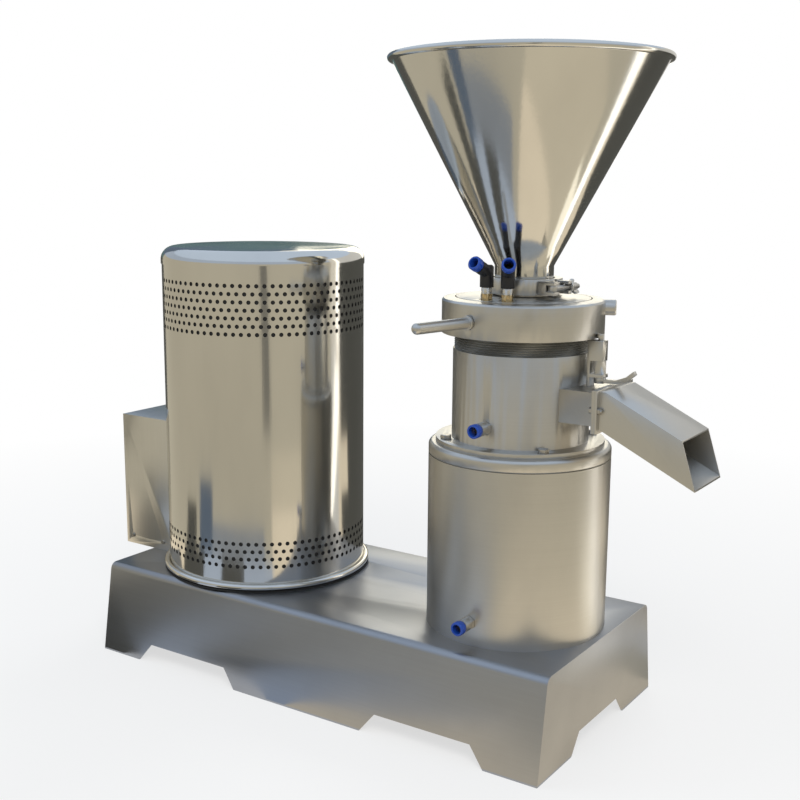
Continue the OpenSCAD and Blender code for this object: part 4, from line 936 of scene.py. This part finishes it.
class MILL_OT_stage(bpy.types.Operator):
    """Sets up the camera, the pale floor, the soft lights and the reflection cards"""

    bl_idname = "mill.stage"
    bl_label = "Studio"

    def execute(self, context):
        self.camera()
        self.world()
        self.floor()
        self.lights()
        self.cards()
        context.scene.view_settings.view_transform = "Standard"
        return {"FINISHED"}

    @staticmethod
    def camera():
        right, up, back = camera_frame()
        lens = bpy.data.cameras.new("photo_camera")
        lens.sensor_width = SENSOR
        lens.lens = FOCAL_PIXELS / IMAGE * SENSOR
        camera = bpy.data.objects.new("photo_camera", lens)
        turn = Matrix((right, up, back)).transposed().to_4x4()
        camera.matrix_world = Matrix.Translation(VIEW_TARGET + back * VIEW_DISTANCE) @ turn
        bpy.context.scene.collection.objects.link(camera)
        bpy.context.scene.camera = camera

    @staticmethod
    def world():
        world = bpy.data.worlds.new("studio")
        world.use_nodes = True
        bpy.context.scene.world = world
        tree = Tree(world.node_tree)
        world.node_tree.nodes.clear()
        seen = seen_ray(tree)
        pale = tree.add("ShaderNodeBackground", None, {"Color": WHITE, "Strength": 1.0})
        fill = tree.add("ShaderNodeBackground", None, {"Color": COOL, "Strength": 0.45})
        mixed = tree.add("ShaderNodeMixShader", None, {0: seen, 1: fill, 2: pale})
        tree.add("ShaderNodeOutputWorld", None, {"Surface": mixed})

    @staticmethod
    def floor():
        """A white floor that shades only near the machine and fades to plain white."""
        half = FLOOR_HALF
        mesh = bpy.data.meshes.new("floor")
        mesh.from_pydata([(-half, -half, 0), (half, -half, 0), (half, half, 0), (-half, half, 0)], [],
                         [(0, 1, 2, 3)])
        floor = new_object("floor", mesh)
        paint = Finish("floor_paint", (0.92, 0.92, 0.92), 1.0)
        paint.set("Specular IOR Level", 0.0)
        glow = paint.add("ShaderNodeEmission", None, {"Color": WHITE, "Strength": 1.0})
        reach = paint.add("ShaderNodeVectorMath", {"operation": "LENGTH"},
                          {0: paint.place()}, out="Value")
        fade = paint.ramp(reach / FLOOR_FADE, (0.25, 0.66), (0.8, 1.0))
        shaded = Wire(paint, paint.shader.outputs[0])
        surface = paint.add("ShaderNodeMixShader", None,
                            {0: seen_ray(paint) * fade, 1: shaded, 2: glow})
        paint.tree.links.new(surface.socket, paint.tree.nodes["Material Output"].inputs["Surface"])
        mesh.materials.append(paint.material)

    @staticmethod
    def lights():
        for name, place, aim, wide, tall, power, tint in LAMPS:
            light = bpy.data.lights.new(name, "AREA")
            light.shape = "RECTANGLE"
            light.size = wide
            light.size_y = tall
            light.energy = power
            light.color = tint
            lamp = bpy.data.objects.new(name, light)
            lamp.visible_camera = False
            lamp.visible_glossy = False
            way = Vector(aim) - Vector(place)
            turn = way.to_track_quat("-Z", "Y").to_matrix().to_4x4()
            lamp.matrix_world = Matrix.Translation(place) @ turn
            bpy.context.scene.collection.objects.link(lamp)

    @staticmethod
    def cards():
        """Stands up the cards, which only reflections see: glowing surfaces, no lamps, that paint
        reflections and highlights into the metal.
        """
        for i, (axis, start, end, inner, outer, foot, head, colour) in enumerate(card_rows()):
            name = f"card_{i}"
            steps = max(2, int((end - start) / CARD_FACET))
            points = []
            for k in range(steps + 1):
                turn = math.radians(start + (end - start) * k / steps)
                for reach, height in ((inner, foot), (outer, head)):
                    points.append((axis[0] + reach * math.cos(turn),
                                   axis[1] + reach * math.sin(turn), height))
            faces = [(2 * k, 2 * k + 1, 2 * k + 3, 2 * k + 2) for k in range(steps)]
            mesh = bpy.data.meshes.new(name)
            mesh.from_pydata(points, [], faces)
            card = new_object(name, mesh)
            paint = bpy.data.materials.new(name)
            paint.use_nodes = True
            paint.node_tree.nodes.clear()
            paint.cycles.emission_sampling = "NONE"
            tree = Tree(paint.node_tree)
            glow = tree.add("ShaderNodeEmission", None, {"Color": rgba(colour), "Strength": 1.0})
            tree.add("ShaderNodeOutputMaterial", None, {"Surface": glow})
            mesh.materials.append(paint)
            card.visible_camera = False
            card.visible_diffuse = False
            card.visible_shadow = False
            card.visible_transmission = False


class MILL_PT_looks(bpy.types.Panel):
    """Lists the steps that dress the mill"""

    bl_idname = "MILL_PT_looks"
    bl_label = "Colloid Mill"
    bl_space_type = "VIEW_3D"
    bl_region_type = "UI"
    bl_category = "Mill"

    def draw(self, context):
        for step in STEPS:
            self.layout.operator(step.bl_idname)
        for group in (context.scene.mill_sizes, context.scene.mill_colours):
            for name in group.bl_rna.properties.keys():
                if name not in ("rna_type", "name"):
                    self.layout.prop(group, name)


STEPS = (MILL_OT_finishes, MILL_OT_vented_hood, MILL_OT_round_sheet, MILL_OT_thread,
         MILL_OT_eased_edges, MILL_OT_stage)
CLASSES = (MillSizes, MillColours, *STEPS, MILL_PT_looks)


def register():
    for kind in CLASSES:
        bpy.utils.register_class(kind)
    bpy.types.Scene.mill_sizes = bpy.props.PointerProperty(type=MillSizes)
    bpy.types.Scene.mill_colours = bpy.props.PointerProperty(type=MillColours)


def unregister():
    del bpy.types.Scene.mill_colours
    del bpy.types.Scene.mill_sizes
    for kind in reversed(CLASSES):
        bpy.utils.unregister_class(kind)


def main():
    register()
    bpy.ops.mill.finishes()
    bpy.ops.mill.vented_hood()
    bpy.ops.mill.round_sheet()
    bpy.ops.mill.thread()
    bpy.ops.mill.eased_edges()
    bpy.ops.mill.stage()


if __name__ == "__main__":
    main()
